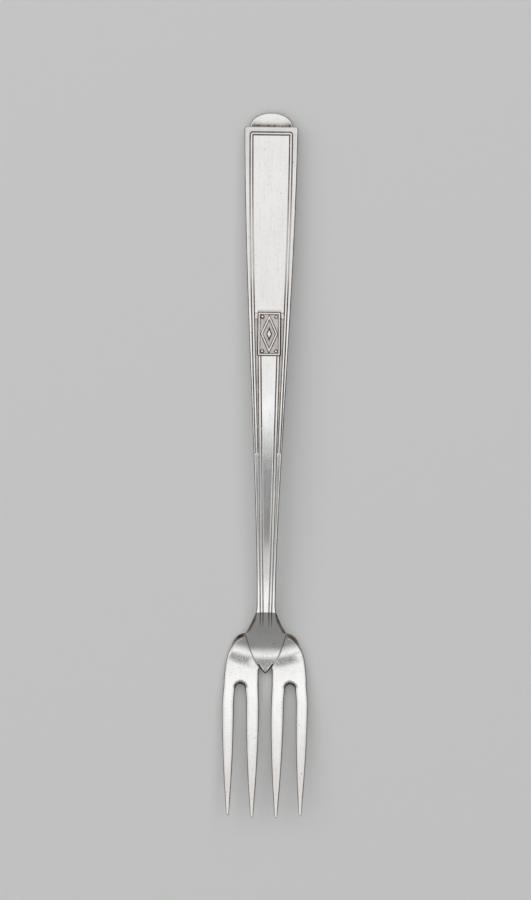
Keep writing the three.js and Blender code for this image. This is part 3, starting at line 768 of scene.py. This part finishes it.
def tine_tip(tine):
    turn = np.linspace(0, -math.pi, 9)[1:-1]
    radius = TINE_TIP_WIDTH / 2
    middle = np.array([tine.root_x * TIP_PITCH / TINE_PITCH, tine.tip_y + radius])
    return middle + radius * np.column_stack([np.cos(turn), np.sin(turn)])


def slot_top(right, left):
    """Round top of a side slot, from the outer tine's side to the inner tine's."""
    middle = (right[0] + left[0]) / 2
    radius = SLOT_TOP_WIDTH / 2
    centre = SLOT_DEPTH - radius
    half_way = (right[1] + centre) / 2
    turn = np.linspace(0, math.pi, 25)
    arc = np.column_stack([middle + radius * np.cos(turn), centre + radius * np.sin(turn)])
    up = bezier(right, (right[0], half_way), arc[0], count=12)
    down = bezier(arc[-1], (left[0], half_way), left, count=12)
    return np.vstack([up[:-1], arc, down[1:]])


def tongue_edge(inset):
    """Right edge of the tongue from the shoulder to its point, drawn in by an inset."""
    belly = (TONGUE_BELLY, TONGUE_TIP + TONGUE_BELLY_RISE)
    edge = bezier((NECK_WIDTH / 2, SHOULDER + SOLDER_GAP), belly, (0, TONGUE_TIP))
    along = np.gradient(edge, axis=0)
    along = along / np.linalg.norm(along, axis=1)[:, None]
    return edge + inset * np.column_stack([along[:, 1], -along[:, 0]])


def tongue_seam(inset, count=40):
    """The part of that edge which a pair of tines lies against, from the middle slot to the shoulder."""
    edge = tongue_edge(inset)
    low = np.interp(CENTRE_SLOT_WIDTH / 2, edge[::-1, 0], edge[::-1, 1])
    y = np.linspace(low, SHOULDER, count)
    return np.column_stack([np.interp(y, edge[::-1, 1], edge[::-1, 0]), y])


def pair_outlines():
    """Seam of the right pair of tines, its upper outline, and its lower one with the ledge."""
    seam, ledge = tongue_seam(-SEAM_GAP), tongue_seam(LAP - SOLDER_GAP)
    shoulder = bezier(
        seam[-1], (NECK_WIDTH / 2 + SHOULDER_BULGE, SHOULDER),
        (HEAD_WIDTH / 2 - SHOULDER_FLARE, SLOT_DEPTH + SHOULDER_DROP), (HEAD_WIDTH / 2, SLOT_DEPTH),
    )
    outer_right, outer_left = (tine_side(OUTER_TINE, way) for way in (1, -1))
    inner_right, inner_left = (tine_side(INNER_TINE, way) for way in (1, -1))
    swell = (HEAD_WIDTH / 2 + FLANK_SWELL, SLOT_DEPTH - FLANK_RUN)
    flank = bezier(shoulder[-1], swell, outer_right[0], count=20)
    slot_path = np.vstack([outer_left[::-1], slot_top(outer_left[0], inner_right[0])[1:], inner_right[1:]])
    waist = [(CENTRE_SLOT_WIDTH / 2, SLOT_DEPTH), tuple(seam[0])]
    rest = np.vstack([
        resample(np.vstack([shoulder, flank[1:], outer_right[1:]]), OUTLINE_SPACING)[1:],
        tine_tip(OUTER_TINE),
        resample(slot_path, FINE_SPACING),
        tine_tip(INNER_TINE),
        resample(np.vstack([inner_left[::-1], waist]), OUTLINE_SPACING)[:-1],
    ])[::-1]
    return seam, np.vstack([seam[::-1], rest]), np.vstack([ledge[::-1], rest])


def pair_edge(seam, top, bottom):
    """Edge of the right pair: fine along the seam, round elsewhere, with painted shade on its edges that is
    darkest at shoulder and slot top.
    """
    x, y = top.T
    on_seam = np.arange(len(top)) < len(seam)
    tine_limit = np.where(x > SLOT_MIDDLE, tine_half(OUTER_TINE, y), tine_half(INNER_TINE, y))
    # Painted shade round the top of the side slot
    near_slot = (np.abs(x - SLOT_MIDDLE) < SLOT_TOP_WIDTH) & (y < SLOT_DEPTH + SLOT_SHADE_REACH)
    in_slot = near_slot * rise(y, SLOT_DEPTH - SLOT_SHADE_FROM, SLOT_SHADE_RUN)
    from_seam = np.min(np.linalg.norm(top[:, None] - seam[None], axis=2), axis=1)
    apart = smooth(from_seam / ramp(y, SLOT_DEPTH, SEAM_TAPER, SHOULDER, CORNER_TAPER))
    head_round = ramp(y, SHOULDER - ROUND_STARTS, FLANK_ROUND, SHOULDER - ROUND_ENDS, SHOULDER_ROUND)
    edge_round = np.where(y < SLOT_DEPTH, np.minimum(TINE_ROUND, 0.6 * tine_limit), head_round)
    edge_round = edge_round + (SLOT_ROUND - edge_round) * in_slot
    radii = SEAM_ROUND + (edge_round - SEAM_ROUND) * apart
    # Painted shade on the edges, deepened at the shoulder and at the slot tops, and carried onto their walls
    on_shoulder = rise(y, SHOULDER - SHOULDER_SHADE_FROM, SHOULDER_SHADE_RUN)
    edge_shade_paint = PAINTED_EDGE_SHADE + (PAINTED_SHOULDER_SHADE - PAINTED_EDGE_SHADE) * on_shoulder
    stain = np.where(on_seam, SEAM_STAIN, np.maximum(edge_shade_paint, PAINTED_SLOT_SHADE * in_slot))
    wall_stain = stain * (WALL_SHARE + (1 - WALL_SHARE) * np.maximum(on_shoulder, in_slot))
    top = top - np.column_stack([0 * x, lean(x, y) * apart])
    return PlateEdge(top, bottom, radii, stain, wall_stain)


def mirror_edge(edge):
    """The same edge on the other side of the fork, again anticlockwise."""
    top, bottom = (outline * (-1, 1) for outline in (edge.top, edge.bottom))
    return PlateEdge(*(values[::-1] for values in (top, bottom, edge.radii, edge.stain, edge.wall_stain)))


def tine_pair(name, side, material, node):
    """Right or left pair of tines with its shoulder, and the ledge that lies under the tongue."""
    edge = pair_edge(*pair_outlines())
    if side < 0:
        edge = mirror_edge(edge)
    return plate(name, edge, pair_face, pair_back, tine_haze, PLATE_SPACING, material, node)


# Neck and tongue

def neck_thickness(y):
    return float(ramp(y, SHOULDER, SHOULDER_THICKNESS, MOUTH, STEM_THICKNESS))


def neck_top(y, flare, row):
    """Face of the neck or tongue at y, from edge to edge, with its stained grooves, its haze, and painted
    shade on its rim and point.
    """
    edge, corner, columns = row.edge, row.corner, row.columns
    strip = float(inner_bead(MOUTH))
    fade = float(np.clip(1 - (MOUTH - y) / GROOVE_FADE, 0, 1)) ** FADE_POWER
    grooves = fade * bead_grooves(columns - strip)
    steep = float(ramp(y, SHOULDER, 0.0, MOUTH, 1.0))
    soft = steep * (CROWN * (columns / edge) ** 2 + STRIP_CROWN * np.clip(columns / strip, 0, 1) ** 3)
    depth = GROOVE_DEPTH * grooves + soft
    x = np.concatenate([edge - corner + corner * COSINES[:-1], columns])
    down = np.concatenate([depth[0] + corner * (1 - SINES[:-1]), depth])
    # Painted shade on the rim: heavy on the flare, the edge share on the tongue
    rim = PAINTED_FLARE_RIM_SHADE * np.linspace(1, 0.5, EDGE_STEPS) if flare else EDGE_SHADE
    thick = neck_thickness(y) if flare else float(plate_thickness(y))
    level = y if y > BOTTOM else BOTTOM + TONGUE_LEVEL * (y - BOTTOM)
    z = height(x, level) + thick / 2 - down - TONGUE_LEVEL * pillow(x, y, 0) - SKIN
    haze = float(ramp(y, BOTTOM, 0, SHOULDER, FLARE_HAZE))
    dirt_and_shade = np.concatenate([rim, np.maximum(FLARE_STAIN * grooves, haze)])
    # Painted shadow along the rim of the tongue's point
    in_point = float(1 - rise(y, TONGUE_TIP + POINT_LENGTH, POINT_SHADE_RUN))
    dirt_and_shade = np.maximum(dirt_and_shade, in_point * (1 - rise(edge - x, POINT_RIM, RIM_SHADE_RUN)))
    return mirrored(x, z, dirt_and_shade)


def neck_under(y, row):
    """Underside from the left edge to the right: the ledge of the lap, rounded heels and a level middle."""
    edge, under, floor = row.edge, row.under, row.floor - SKIN
    lap = float(height(0, y)) + SOLDER_GAP
    heel = min(HEEL_ROUND, 0.5 * under)
    heel_height = min(heel, 0.6 * (floor + 2 * SOLDER_GAP))
    across = np.linspace(-1, 1, 41) * (under - heel)
    base = np.column_stack([across, height(across, y) - floor])
    x = under - heel + heel * SINES[1:]
    bend = np.column_stack([x, height(x, y) - floor + heel_height * (1 - COSINES[1:])])
    ledge = np.array([(under, lap - TOLERANCE), (edge, lap)])
    left_ledge, left_bend = ((side * (-1, 1))[::-1] for side in (ledge, bend))
    return stained(np.vstack([left_ledge, left_bend, base, bend, ledge]), SIDE_STAIN)


# Neck or tongue at one station: its half-width, the rounding of its edge, the places across its face, the
# half-width of its underside and how far that lies below the middle surface
NeckRow = namedtuple("NeckRow", "edge corner columns under floor")


def flare_row(y):
    edge = float(half_width(y))
    corner = float(ramp(y, MOUTH - NECK_ROUND_RUN, NECK_ROUND, MOUTH, EDGE_ROUND))
    strip = float(inner_bead(MOUTH))
    columns = face_columns(edge - corner, (edge - corner + strip) / 2, strip)
    return NeckRow(edge, corner, columns, edge - FLARE_UNDERCUT, neck_thickness(y) / 2)


def tongue_row(y, shares):
    """Row of the tongue, which laps the ledges of the tines and, above its point, reaches between them."""
    full, low = tongue_edge(0), tongue_edge(LAP)
    low = low[low[:, 0] > TOLERANCE]
    edge = float(np.interp(y, full[::-1, 1], full[::-1, 0]))
    softened = float(ramp(y, TONGUE_TIP + POINT_ROUND, TONGUE_ROUND, TONGUE_TIP + POINT_LENGTH, SEAM_ROUND))
    corner = min(softened, 0.6 * edge)
    columns = shares * (edge - corner)
    if y <= low[-1, 1]:
        return NeckRow(edge, corner, columns, 0.4 * edge, POINT_RISE - SOLDER_GAP)
    drawn_in = float(np.interp(y, low[::-1, 1], low[::-1, 0]))
    return NeckRow(edge, corner, columns, min(drawn_in, 0.97 * edge), float(plate_thickness(y)) / 2)


def neck_rows():
    """Stations along the tongue and neck, close together at both ends."""
    cut, point, mouth, margin, step = 0.04, 0.4, 0.5, 0.6, 0.2
    return np.concatenate([
        TONGUE_TIP + cut + point * np.linspace(0, 1, 12) ** 2,
        np.arange(TONGUE_TIP + margin, MOUTH - margin, step),
        np.linspace(MOUTH - mouth, MOUTH - SOLDER_GAP, 9),
    ])


def neck(material):
    """Flared neck with fading grooves, and the tongue that runs to a point between the tines."""
    rows = neck_rows()
    flared = rows >= SHOULDER + SOLDER_GAP
    root = flare_row(rows[flared][0])
    shares = root.columns / (root.edge - root.corner)
    sections = []
    for y, flare in zip(rows, flared):
        row = flare_row(y) if flare else tongue_row(y, shares)
        sections.append((y, np.vstack([neck_under(y, row), neck_top(y, flare, row)])))
    return lofted("neck", sections, material, "neck_with_tang")


def tang(material):
    """Square tang that runs from inside the neck up into the handle and tapers to its end."""
    end = MOUTH + TANG_LENGTH
    rise_by = float(half_thickness(MOUTH)) - WALL - TANG_CLEARANCE
    sections = []
    for y in np.linspace(MOUTH - NECK_OVERLAP, end, 54):
        taper = float(ramp(y, end - TANG_POINT, TANG_WIDTH, end, TANG_POINT_WIDTH)) / 2
        half = min(taper, float(half_width(max(y, MOUTH))) - WALL - TANG_CLEARANCE)
        right = np.array([(half - TANG_CORNER, -rise_by), (half, TANG_CORNER - rise_by),
                          (half, rise_by - TANG_CORNER), (half - TANG_CORNER, rise_by)])
        ring = np.vstack([right, right[::-1] * (-1, 1)]) + (0, float(spine(y)))
        sections.append((y, stained(ring, SEAM_STAIN)))
    return lofted("tang", sections, material, "neck_with_tang")


# Small pieces

def end_tab(material):
    """Half-round, softly domed tab with the plug inside the handle."""
    half = TAB_WIDTH / 2
    turn = np.linspace(0, math.pi, 61)
    arc = np.column_stack([half * np.cos(turn), HANDLE_END + TAB_HEIGHT * np.sin(turn)])
    low = HANDLE_END - TAB_PLUG
    plug = np.array([(-half, HANDLE_END), (-half, low), (half, low), (half, HANDLE_END)])
    outline = np.vstack([arc, resample(plug, PLUG_SPACING)[1:-1]])
    rise_by = float(half_thickness(HANDLE_END)) - WALL - SOLDER_GAP
    outside = outline[:, 1] >= HANDLE_END - TOLERANCE
    radii = np.where(outside, TAB_ROUND, SEAM_ROUND)
    stain = np.where(outside, PAINTED_EDGE_SHADE, SEAM_STAIN)

    def face(x, y):
        out = np.hypot(x / half, np.maximum(y - HANDLE_END, 0) / TAB_HEIGHT)
        return spine(y) + rise_by - SKIN - TAB_DOME * np.clip(out, 0, 1) ** 3

    def back(x, y):
        return spine(y) - rise_by + SKIN

    # Grey haze, and the dark joint line with its painted shadow of the shells' end, reaching further at the
    # tab's two ends
    def face_stain_and_shadow(x, y):
        reach = TAB_SHADOW_REACH * (0.8 + 0.7 * (x / half) ** 4)
        return TAB_HAZE + TAB_JOINT_AND_SHADOW * np.exp(-np.maximum(y - HANDLE_END, 0) / reach)

    edge = PlateEdge(outline, outline, radii, stain, WALL_SHARE * stain)
    return plate("tab", edge, face, back, face_stain_and_shadow, FINE_SPACING, material, "end_tab")


def plaque_relief(x, y):
    """Share of the full relief at a place on the plaque, below zero on the ground between the ridges."""
    half = PLAQUE_WIDTH / 2
    along = np.abs(y - PLAQUE_MIDDLE)
    across = np.abs(x)
    from_edge = np.minimum(half - across, PLAQUE_LENGTH / 2 - along)
    field_x, field_y = half - PLAQUE_FRAME, PLAQUE_LENGTH / 2 - PLAQUE_FRAME
    reach_x, reach_y = field_x - LOZENGE_MARGIN, field_y - LOZENGE_MARGIN

    def outside_lozenge(half_x, half_y):
        return (across / half_x + along / half_y - 1) / math.hypot(1 / half_x, 1 / half_y)

    line = outside_lozenge(reach_x, reach_y) + LOZENGE_LINE / 2
    boss = -outside_lozenge(BOSS_WIDTH / 2, BOSS_LENGTH / 2)
    pellet = np.hypot(across - field_x + PELLET_INSET, along - field_y + PELLET_INSET)
    ridges = [
        1 - (np.abs(from_edge - PLAQUE_FRAME / 2) / (PLAQUE_FRAME / 2)) ** 2,
        1 - (np.abs(line) / (LOZENGE_LINE / 2 + RIDGE_SOFT)) ** 2,
        1 - np.clip(1 - boss / BOSS_SLOPE, 0, 2) ** 2,
        1 - (pellet / PELLET_RADIUS) ** 2,
    ]
    return np.max(ridges, axis=0)


def grid_faces(rows, columns):
    """Faces of a closed slab whose upper points come first and its lower points after them, row by row."""
    base = rows * columns
    faces = []
    for i in range(rows - 1):
        for j in range(columns - 1):
            a = i * columns + j
            faces.append((a, a + 1, a + columns + 1, a + columns))
            faces.append((base + a, base + a + columns, base + a + columns + 1, base + a + 1))
    grid = np.arange(base).reshape(rows, columns)
    border = np.concatenate([grid[0], grid[1:, -1], grid[-1, -2::-1], grid[-2:0:-1, 0]]).tolist()
    for a, b in zip(border, border[1:] + border[:1]):
        faces.append((a, base + a, base + b, b))
    return faces


def plaque(material):
    """Framed field with a lozenge, a boss in its middle and a pellet in each corner, all softly struck."""
    half = PLAQUE_WIDTH / 2
    top = float(half_thickness(PLAQUE_MIDDLE))
    floor = top - POCKET_DEPTH + SOLDER_GAP
    ground = floor + PLAQUE_BASE
    x, y = np.meshgrid(np.linspace(-half, half, 113), np.linspace(PLAQUE_FOOT, PLAQUE_TOP, 211))
    share = plaque_relief(x, y)
    relief = smooth(RIDGE_GAIN * share)
    upper = spine(y) + ground + (top - ground) * relief - crown(x, y) - SKIN
    lower = spine(y) + floor - crown(x, y)
    points = np.vstack([np.column_stack([v.ravel() for v in (x, y, z)]) for z in (upper, lower)])
    ground_stain = GROUND_STAIN + (1 - GROUND_STAIN) * np.exp(np.minimum(share, 0) / GROUND_REACH)
    foot = np.where(share < 0, ground_stain, np.maximum(1 - RIDGE_WEAR * share, GROUND_STAIN))
    stain = np.concatenate([foot.ravel(), np.ones(foot.size)])
    return add_piece("plaque_relief", points, grid_faces(*x.shape), stain, material, "plaque")


# Materials

class Nodes:
    """Short way to add linked shader nodes to one material."""

    def __init__(self, name):
        self.material = bpy.data.materials.new(name)
        self.material.use_nodes = True
        self.tree = self.material.node_tree
        self.shader = self.tree.nodes["Principled BSDF"]

    def set(self, socket, value):
        if isinstance(value, bpy.types.NodeSocket):
            self.tree.links.new(value, socket)
        else:
            socket.default_value = value

    def put(self, name, value):
        self.set(self.shader.inputs[name], value)

    def add(self, kind, settings=None, inputs=None):
        node = self.tree.nodes.new(kind)
        for key, value in (settings or {}).items():
            setattr(node, key, value)
        for key, value in (inputs or {}).items():
            self.set(node.inputs[key], value)
        return node

    def millimetres(self, scale, turn=0.0):
        """Object coordinates in millimetres, squeezed by a scale on each axis after a turn about Z."""
        place = self.add("ShaderNodeTexCoord").outputs["Object"]
        about_z = {"rotation_type": "Z_AXIS"}
        turned = self.add("ShaderNodeVectorRotate", about_z, {"Vector": place, "Angle": turn})
        factors = {0: turned.outputs["Vector"], 1: tuple(s / MM for s in scale)}
        return self.add("ShaderNodeVectorMath", {"operation": "MULTIPLY"}, factors).outputs["Vector"]

    def noise(self, scale, detail=2.0, turn=0.0):
        inputs = {"Vector": self.millimetres(scale, turn), "Scale": 1.0, "Detail": detail, "Roughness": 0.6}
        return self.add("ShaderNodeTexNoise", {}, inputs).outputs["Fac"]

    def math(self, operation, a, b, clamp=False):
        node = self.add("ShaderNodeMath", {"operation": operation, "use_clamp": clamp}, {0: a, 1: b})
        return node.outputs["Value"]

    def span(self, value, low, high, to_low=0.0, to_high=1.0):
        """Value mapped from one span to another with soft ends."""
        settings = {"interpolation_type": "SMOOTHSTEP"}
        inputs = {"Value": value, "From Min": low, "From Max": high, "To Min": to_low, "To Max": to_high}
        return self.add("ShaderNodeMapRange", settings, inputs).outputs["Result"]

    def near(self, y, reach):
        """1 at a place along the fork, and 0 beyond a reach on each side of it."""
        place = self.add("ShaderNodeSeparateXYZ", {}, {"Vector": self.millimetres((1, 1, 1))}).outputs["Y"]
        apart = self.math("ABSOLUTE", self.math("SUBTRACT", place, y - MIDDLE), 0.0)
        return self.span(apart, reach / 3, reach, 1.0, 0.0)

    def mix(self, factor, a, b):
        node = self.add("ShaderNodeMix", {"data_type": "RGBA"}, {"Factor": factor})
        self.set(node.inputs[6], a)
        self.set(node.inputs[7], b)
        return node.outputs[2]

    def bump(self, relief, distance):
        node = self.add("ShaderNodeBump", {}, {"Height": relief, "Distance": distance, "Strength": 1.0})
        self.put("Normal", node.outputs["Normal"])


# Colours, and depths of bumps in metres
BRIGHT = (0.965, 0.965, 0.96, 1)
CLOUDED = (0.925, 0.922, 0.913, 1)
STREAKED = (0.78, 0.765, 0.75, 1)
SPECKLED = (0.66, 0.64, 0.62, 1)
PITTED = (0.3, 0.25, 0.21, 1)
TAN = (0.35, 0.295, 0.262, 1)
BLACK_BROWN = (0.045, 0.029, 0.02, 1)
CEMENT_DARK = (0.22, 0.16, 0.11, 1)
CEMENT_LIGHT = (0.34, 0.27, 0.2, 1)
FLOOR_COLOUR = (0.88, 0.88, 0.875, 1)
SCRATCH_DEPTH = 1.2e-6
GRIT_DEPTH = 2e-5


def uneven_tarnish_and_shade(n, stain):
    """How stained a place is, with its painted shade, blotched where there is enough of it."""
    fine = n.span(n.noise((2.6, 1.9, 2.6)), 0.3, 0.7, -0.25, 0.2)
    broad = n.span(n.noise((0.4, 0.25, 0.4)), 0.35, 0.65, -0.2, 0.15)
    uneven = n.math("MULTIPLY", n.math("ADD", fine, broad), n.span(stain, 0.2, 0.6))
    return n.math("ADD", stain, n.math("MULTIPLY", stain, uneven), clamp=True)


def clear_silver(n, stain):
    """Colour of the clear metal with its clouds, streaks, speckles and pits."""
    cloud = n.span(n.noise((0.16, 0.08, 0.16), 3.0), 0.3, 0.7)
    streak = n.span(n.noise((1.5, 0.09, 1.5), 3.0), 0.35, 0.75)
    grain = n.span(n.noise((2.4, 1.5, 2.4)), 0.5, 0.74)
    speckle = n.math("MULTIPLY", grain, n.span(stain, 0.05, 0.25, 0.15, 0.4))
    cells = n.add("ShaderNodeTexVoronoi", {}, {"Vector": n.millimetres((0.42, 0.42, 0.42)), "Scale": 1.0})
    pitted = n.span(n.noise((0.1, 0.07, 0.1), 1.0), 0.4, 0.65, 0.15, 0.6)
    pits = n.span(cells.outputs["Distance"], 0.05, 0.11, pitted, 0.0)
    colour = n.mix(cloud, BRIGHT, CLOUDED)
    for share, marked in ((n.math("MULTIPLY", streak, 0.25), STREAKED), (speckle, SPECKLED), (pits, PITTED)):
        colour = n.mix(share, colour, marked)
    return colour


def silver_roughness(n, tarnish_and_shade):
    """Uneven polish, duller where tarnished and where shade is painted, and frosted where the bottom of the
    head was rubbed.
    """
    polish = n.span(n.noise((0.5, 0.25, 0.5), 3.0), 0.3, 0.75, 0.09, 0.14)
    frost = n.span(n.noise((4.4, 4.4, 4.4), 1.0), 0.48, 0.6, 0.0, 0.17)
    rubbed = n.math("MULTIPLY", n.near(BOTTOM, RUB_REACH), frost)
    return n.math("ADD", polish, n.math("ADD", rubbed, n.math("MULTIPLY", tarnish_and_shade, 0.35)))


def silver_relief(n):
    """Height of the scratches both ways, of fine grit and of shallow dents."""
    scratches = n.math("ADD", n.noise((5.0, 0.25, 5.0), turn=0.12), n.noise((0.3, 6.0, 6.0), turn=0.5))
    grit = n.math("MULTIPLY", n.noise((3.2, 2.6, 3.2), 1.0), 3.0)
    dents = n.math("MULTIPLY", n.noise((0.35, 0.2, 0.35)), 6.0)
    return n.math("ADD", n.math("ADD", scratches, grit), dents)


def silver():
    """Old polished silver: cloudy, finely scratched and pitted, with its recesses tarnished brown and painted
    shade along its edges, shoulders, slot tops and rims.
    """
    n = Nodes("aged_silver")
    stain = n.add("ShaderNodeAttribute", {"attribute_name": "stain"}).outputs["Fac"]
    # The attribute holds tarnishing and painted shade alike; both turn the metal tan and then black-brown
    tarnish_and_shade = uneven_tarnish_and_shade(n, stain)
    tan = n.mix(n.span(tarnish_and_shade, 0.0, 0.55), clear_silver(n, stain), TAN)
    n.put("Base Color", n.mix(n.span(tarnish_and_shade, 0.4, 1.0), tan, BLACK_BROWN))
    n.put("Roughness", silver_roughness(n, tarnish_and_shade))
    n.put("Metallic", 1.0)
    n.bump(silver_relief(n), SCRATCH_DEPTH)
    return n.material


def cement():
    """Matt brown resin cement with a gritty body."""
    n = Nodes("resin_cement")
    grit = n.span(n.noise((1.2, 1.2, 1.2), 4.0), 0.3, 0.7)
    n.put("Base Color", n.mix(grit, CEMENT_DARK, CEMENT_LIGHT))
    n.put("Roughness", 0.9)
    n.bump(grit, GRIT_DEPTH)
    return n.material


def floor_material():
    n = Nodes("pale_floor")
    n.put("Base Color", FLOOR_COLOUR)
    n.put("Roughness", 0.9)
    n.put("Specular IOR Level", 0.1)
    return n.material


# Stage, in metres; the centre of the picture is in millimetres

IMAGE_HEIGHT = 900
FORK_PIXELS = 706.5
SENSOR_HEIGHT = 24.0
CAMERA_HEIGHT = 2.0
FACE_HEIGHT = 0.006
CAMERA_ROLL = 0.65
CENTRE_X = -0.6
CENTRE_Y = 3.9
LAMP_HEIGHT = 2.0
LAMP_BRIGHTNESS = 0.73
WORLD_COLOUR = (0.27, 0.273, 0.273, 1)
CEILING_LEFT = -3.4
CEILING_RIGHT = 1.4
CEILING_BACK = 3.4
CEILING_FRONT = -1.5
GAP_LEFT = -0.52
GAP_RIGHT = 0.27
GAP_BACK = 0.066
GAP_FRONT = -0.31
BACK_EDGE = 0.08
FRONT_EDGE = 0.18
FADE_STRIPS = 9
FLOOR_REACH = 3.0
FLOOR_DROP = 0.0001


def camera():
    """Camera straight over the fork, with the fork as long and as leaning as in the photograph."""
    data = bpy.data.cameras.new("camera")
    seen = FORK_END * MM / FORK_PIXELS * IMAGE_HEIGHT
    data.sensor_fit = "VERTICAL"
    data.sensor_height = SENSOR_HEIGHT
    data.lens = SENSOR_HEIGHT * (CAMERA_HEIGHT - FACE_HEIGHT) / seen
    eye = add_object("camera", data)
    place = Matrix.Translation((CENTRE_X * MM, CENTRE_Y * MM, CAMERA_HEIGHT))
    eye.matrix_world = place @ Matrix.Rotation(math.radians(CAMERA_ROLL), 4, "Z")
    bpy.context.scene.camera = eye


def softbox(name, x_span, y_span, brightness=LAMP_BRIGHTNESS):
    """Level panel overhead that shines straight down with an even brightness."""
    data = bpy.data.lights.new(name, "AREA")
    data.shape = "RECTANGLE"
    data.size = x_span[1] - x_span[0]
    data.size_y = y_span[1] - y_span[0]
    data.energy = brightness * math.pi * data.size * data.size_y
    add_object(name, data).location = (sum(x_span) / 2, sum(y_span) / 2, LAMP_HEIGHT)


def ceiling():
    """Bright ceiling that fades out in front, with a gap round the camera that has half-bright edges."""
    across = (CEILING_LEFT, CEILING_RIGHT)
    softbox("back_softbox", across, (GAP_BACK + BACK_EDGE, CEILING_BACK))
    softbox("back_edge", across, (GAP_BACK, GAP_BACK + BACK_EDGE), LAMP_BRIGHTNESS / 2)
    softbox("left_softbox", (CEILING_LEFT, GAP_LEFT), (GAP_FRONT, GAP_BACK))
    softbox("right_softbox", (GAP_RIGHT, CEILING_RIGHT), (GAP_FRONT, GAP_BACK))
    softbox("front_edge", across, (GAP_FRONT - FRONT_EDGE, GAP_FRONT), LAMP_BRIGHTNESS / 2)
    edges = np.linspace(GAP_FRONT - FRONT_EDGE, CEILING_FRONT, FADE_STRIPS + 1)
    for number, (high, low) in enumerate(zip(edges, edges[1:])):
        level = smooth(1 - number / FADE_STRIPS)
        softbox(f"fading_strip_{number}", across, (low, high), LAMP_BRIGHTNESS * float(level))


def stage():
    """Pale floor and an even dim world."""
    mesh = bpy.data.meshes.new("floor")
    corners = [(x * FLOOR_REACH, y * FLOOR_REACH, 0) for x, y in ((-1, -1), (1, -1), (1, 1), (-1, 1))]
    mesh.from_pydata(corners, [], [(0, 1, 2, 3)])
    mesh.materials.append(floor_material())
    floor = add_object("floor", mesh)
    floor.location.z = -FLOOR_DROP
    world = bpy.data.worlds.new("studio")
    bpy.context.scene.world = world
    world.use_nodes = True
    world.node_tree.nodes["Background"].inputs["Color"].default_value = WORLD_COLOUR


metal = silver()
tine_pair("right_tines", 1, metal, "right_tine_pair")
tine_pair("left_tines", -1, metal, "left_tine_pair")
neck(metal)
tang(metal)
handle_shells(metal)
end_tab(metal)
plaque(metal)
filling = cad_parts["handle_filling"].data.materials
filling.clear()
filling.append(cement())
camera()
ceiling()
stage()
bpy.context.scene.view_settings.view_transform = "Standard"
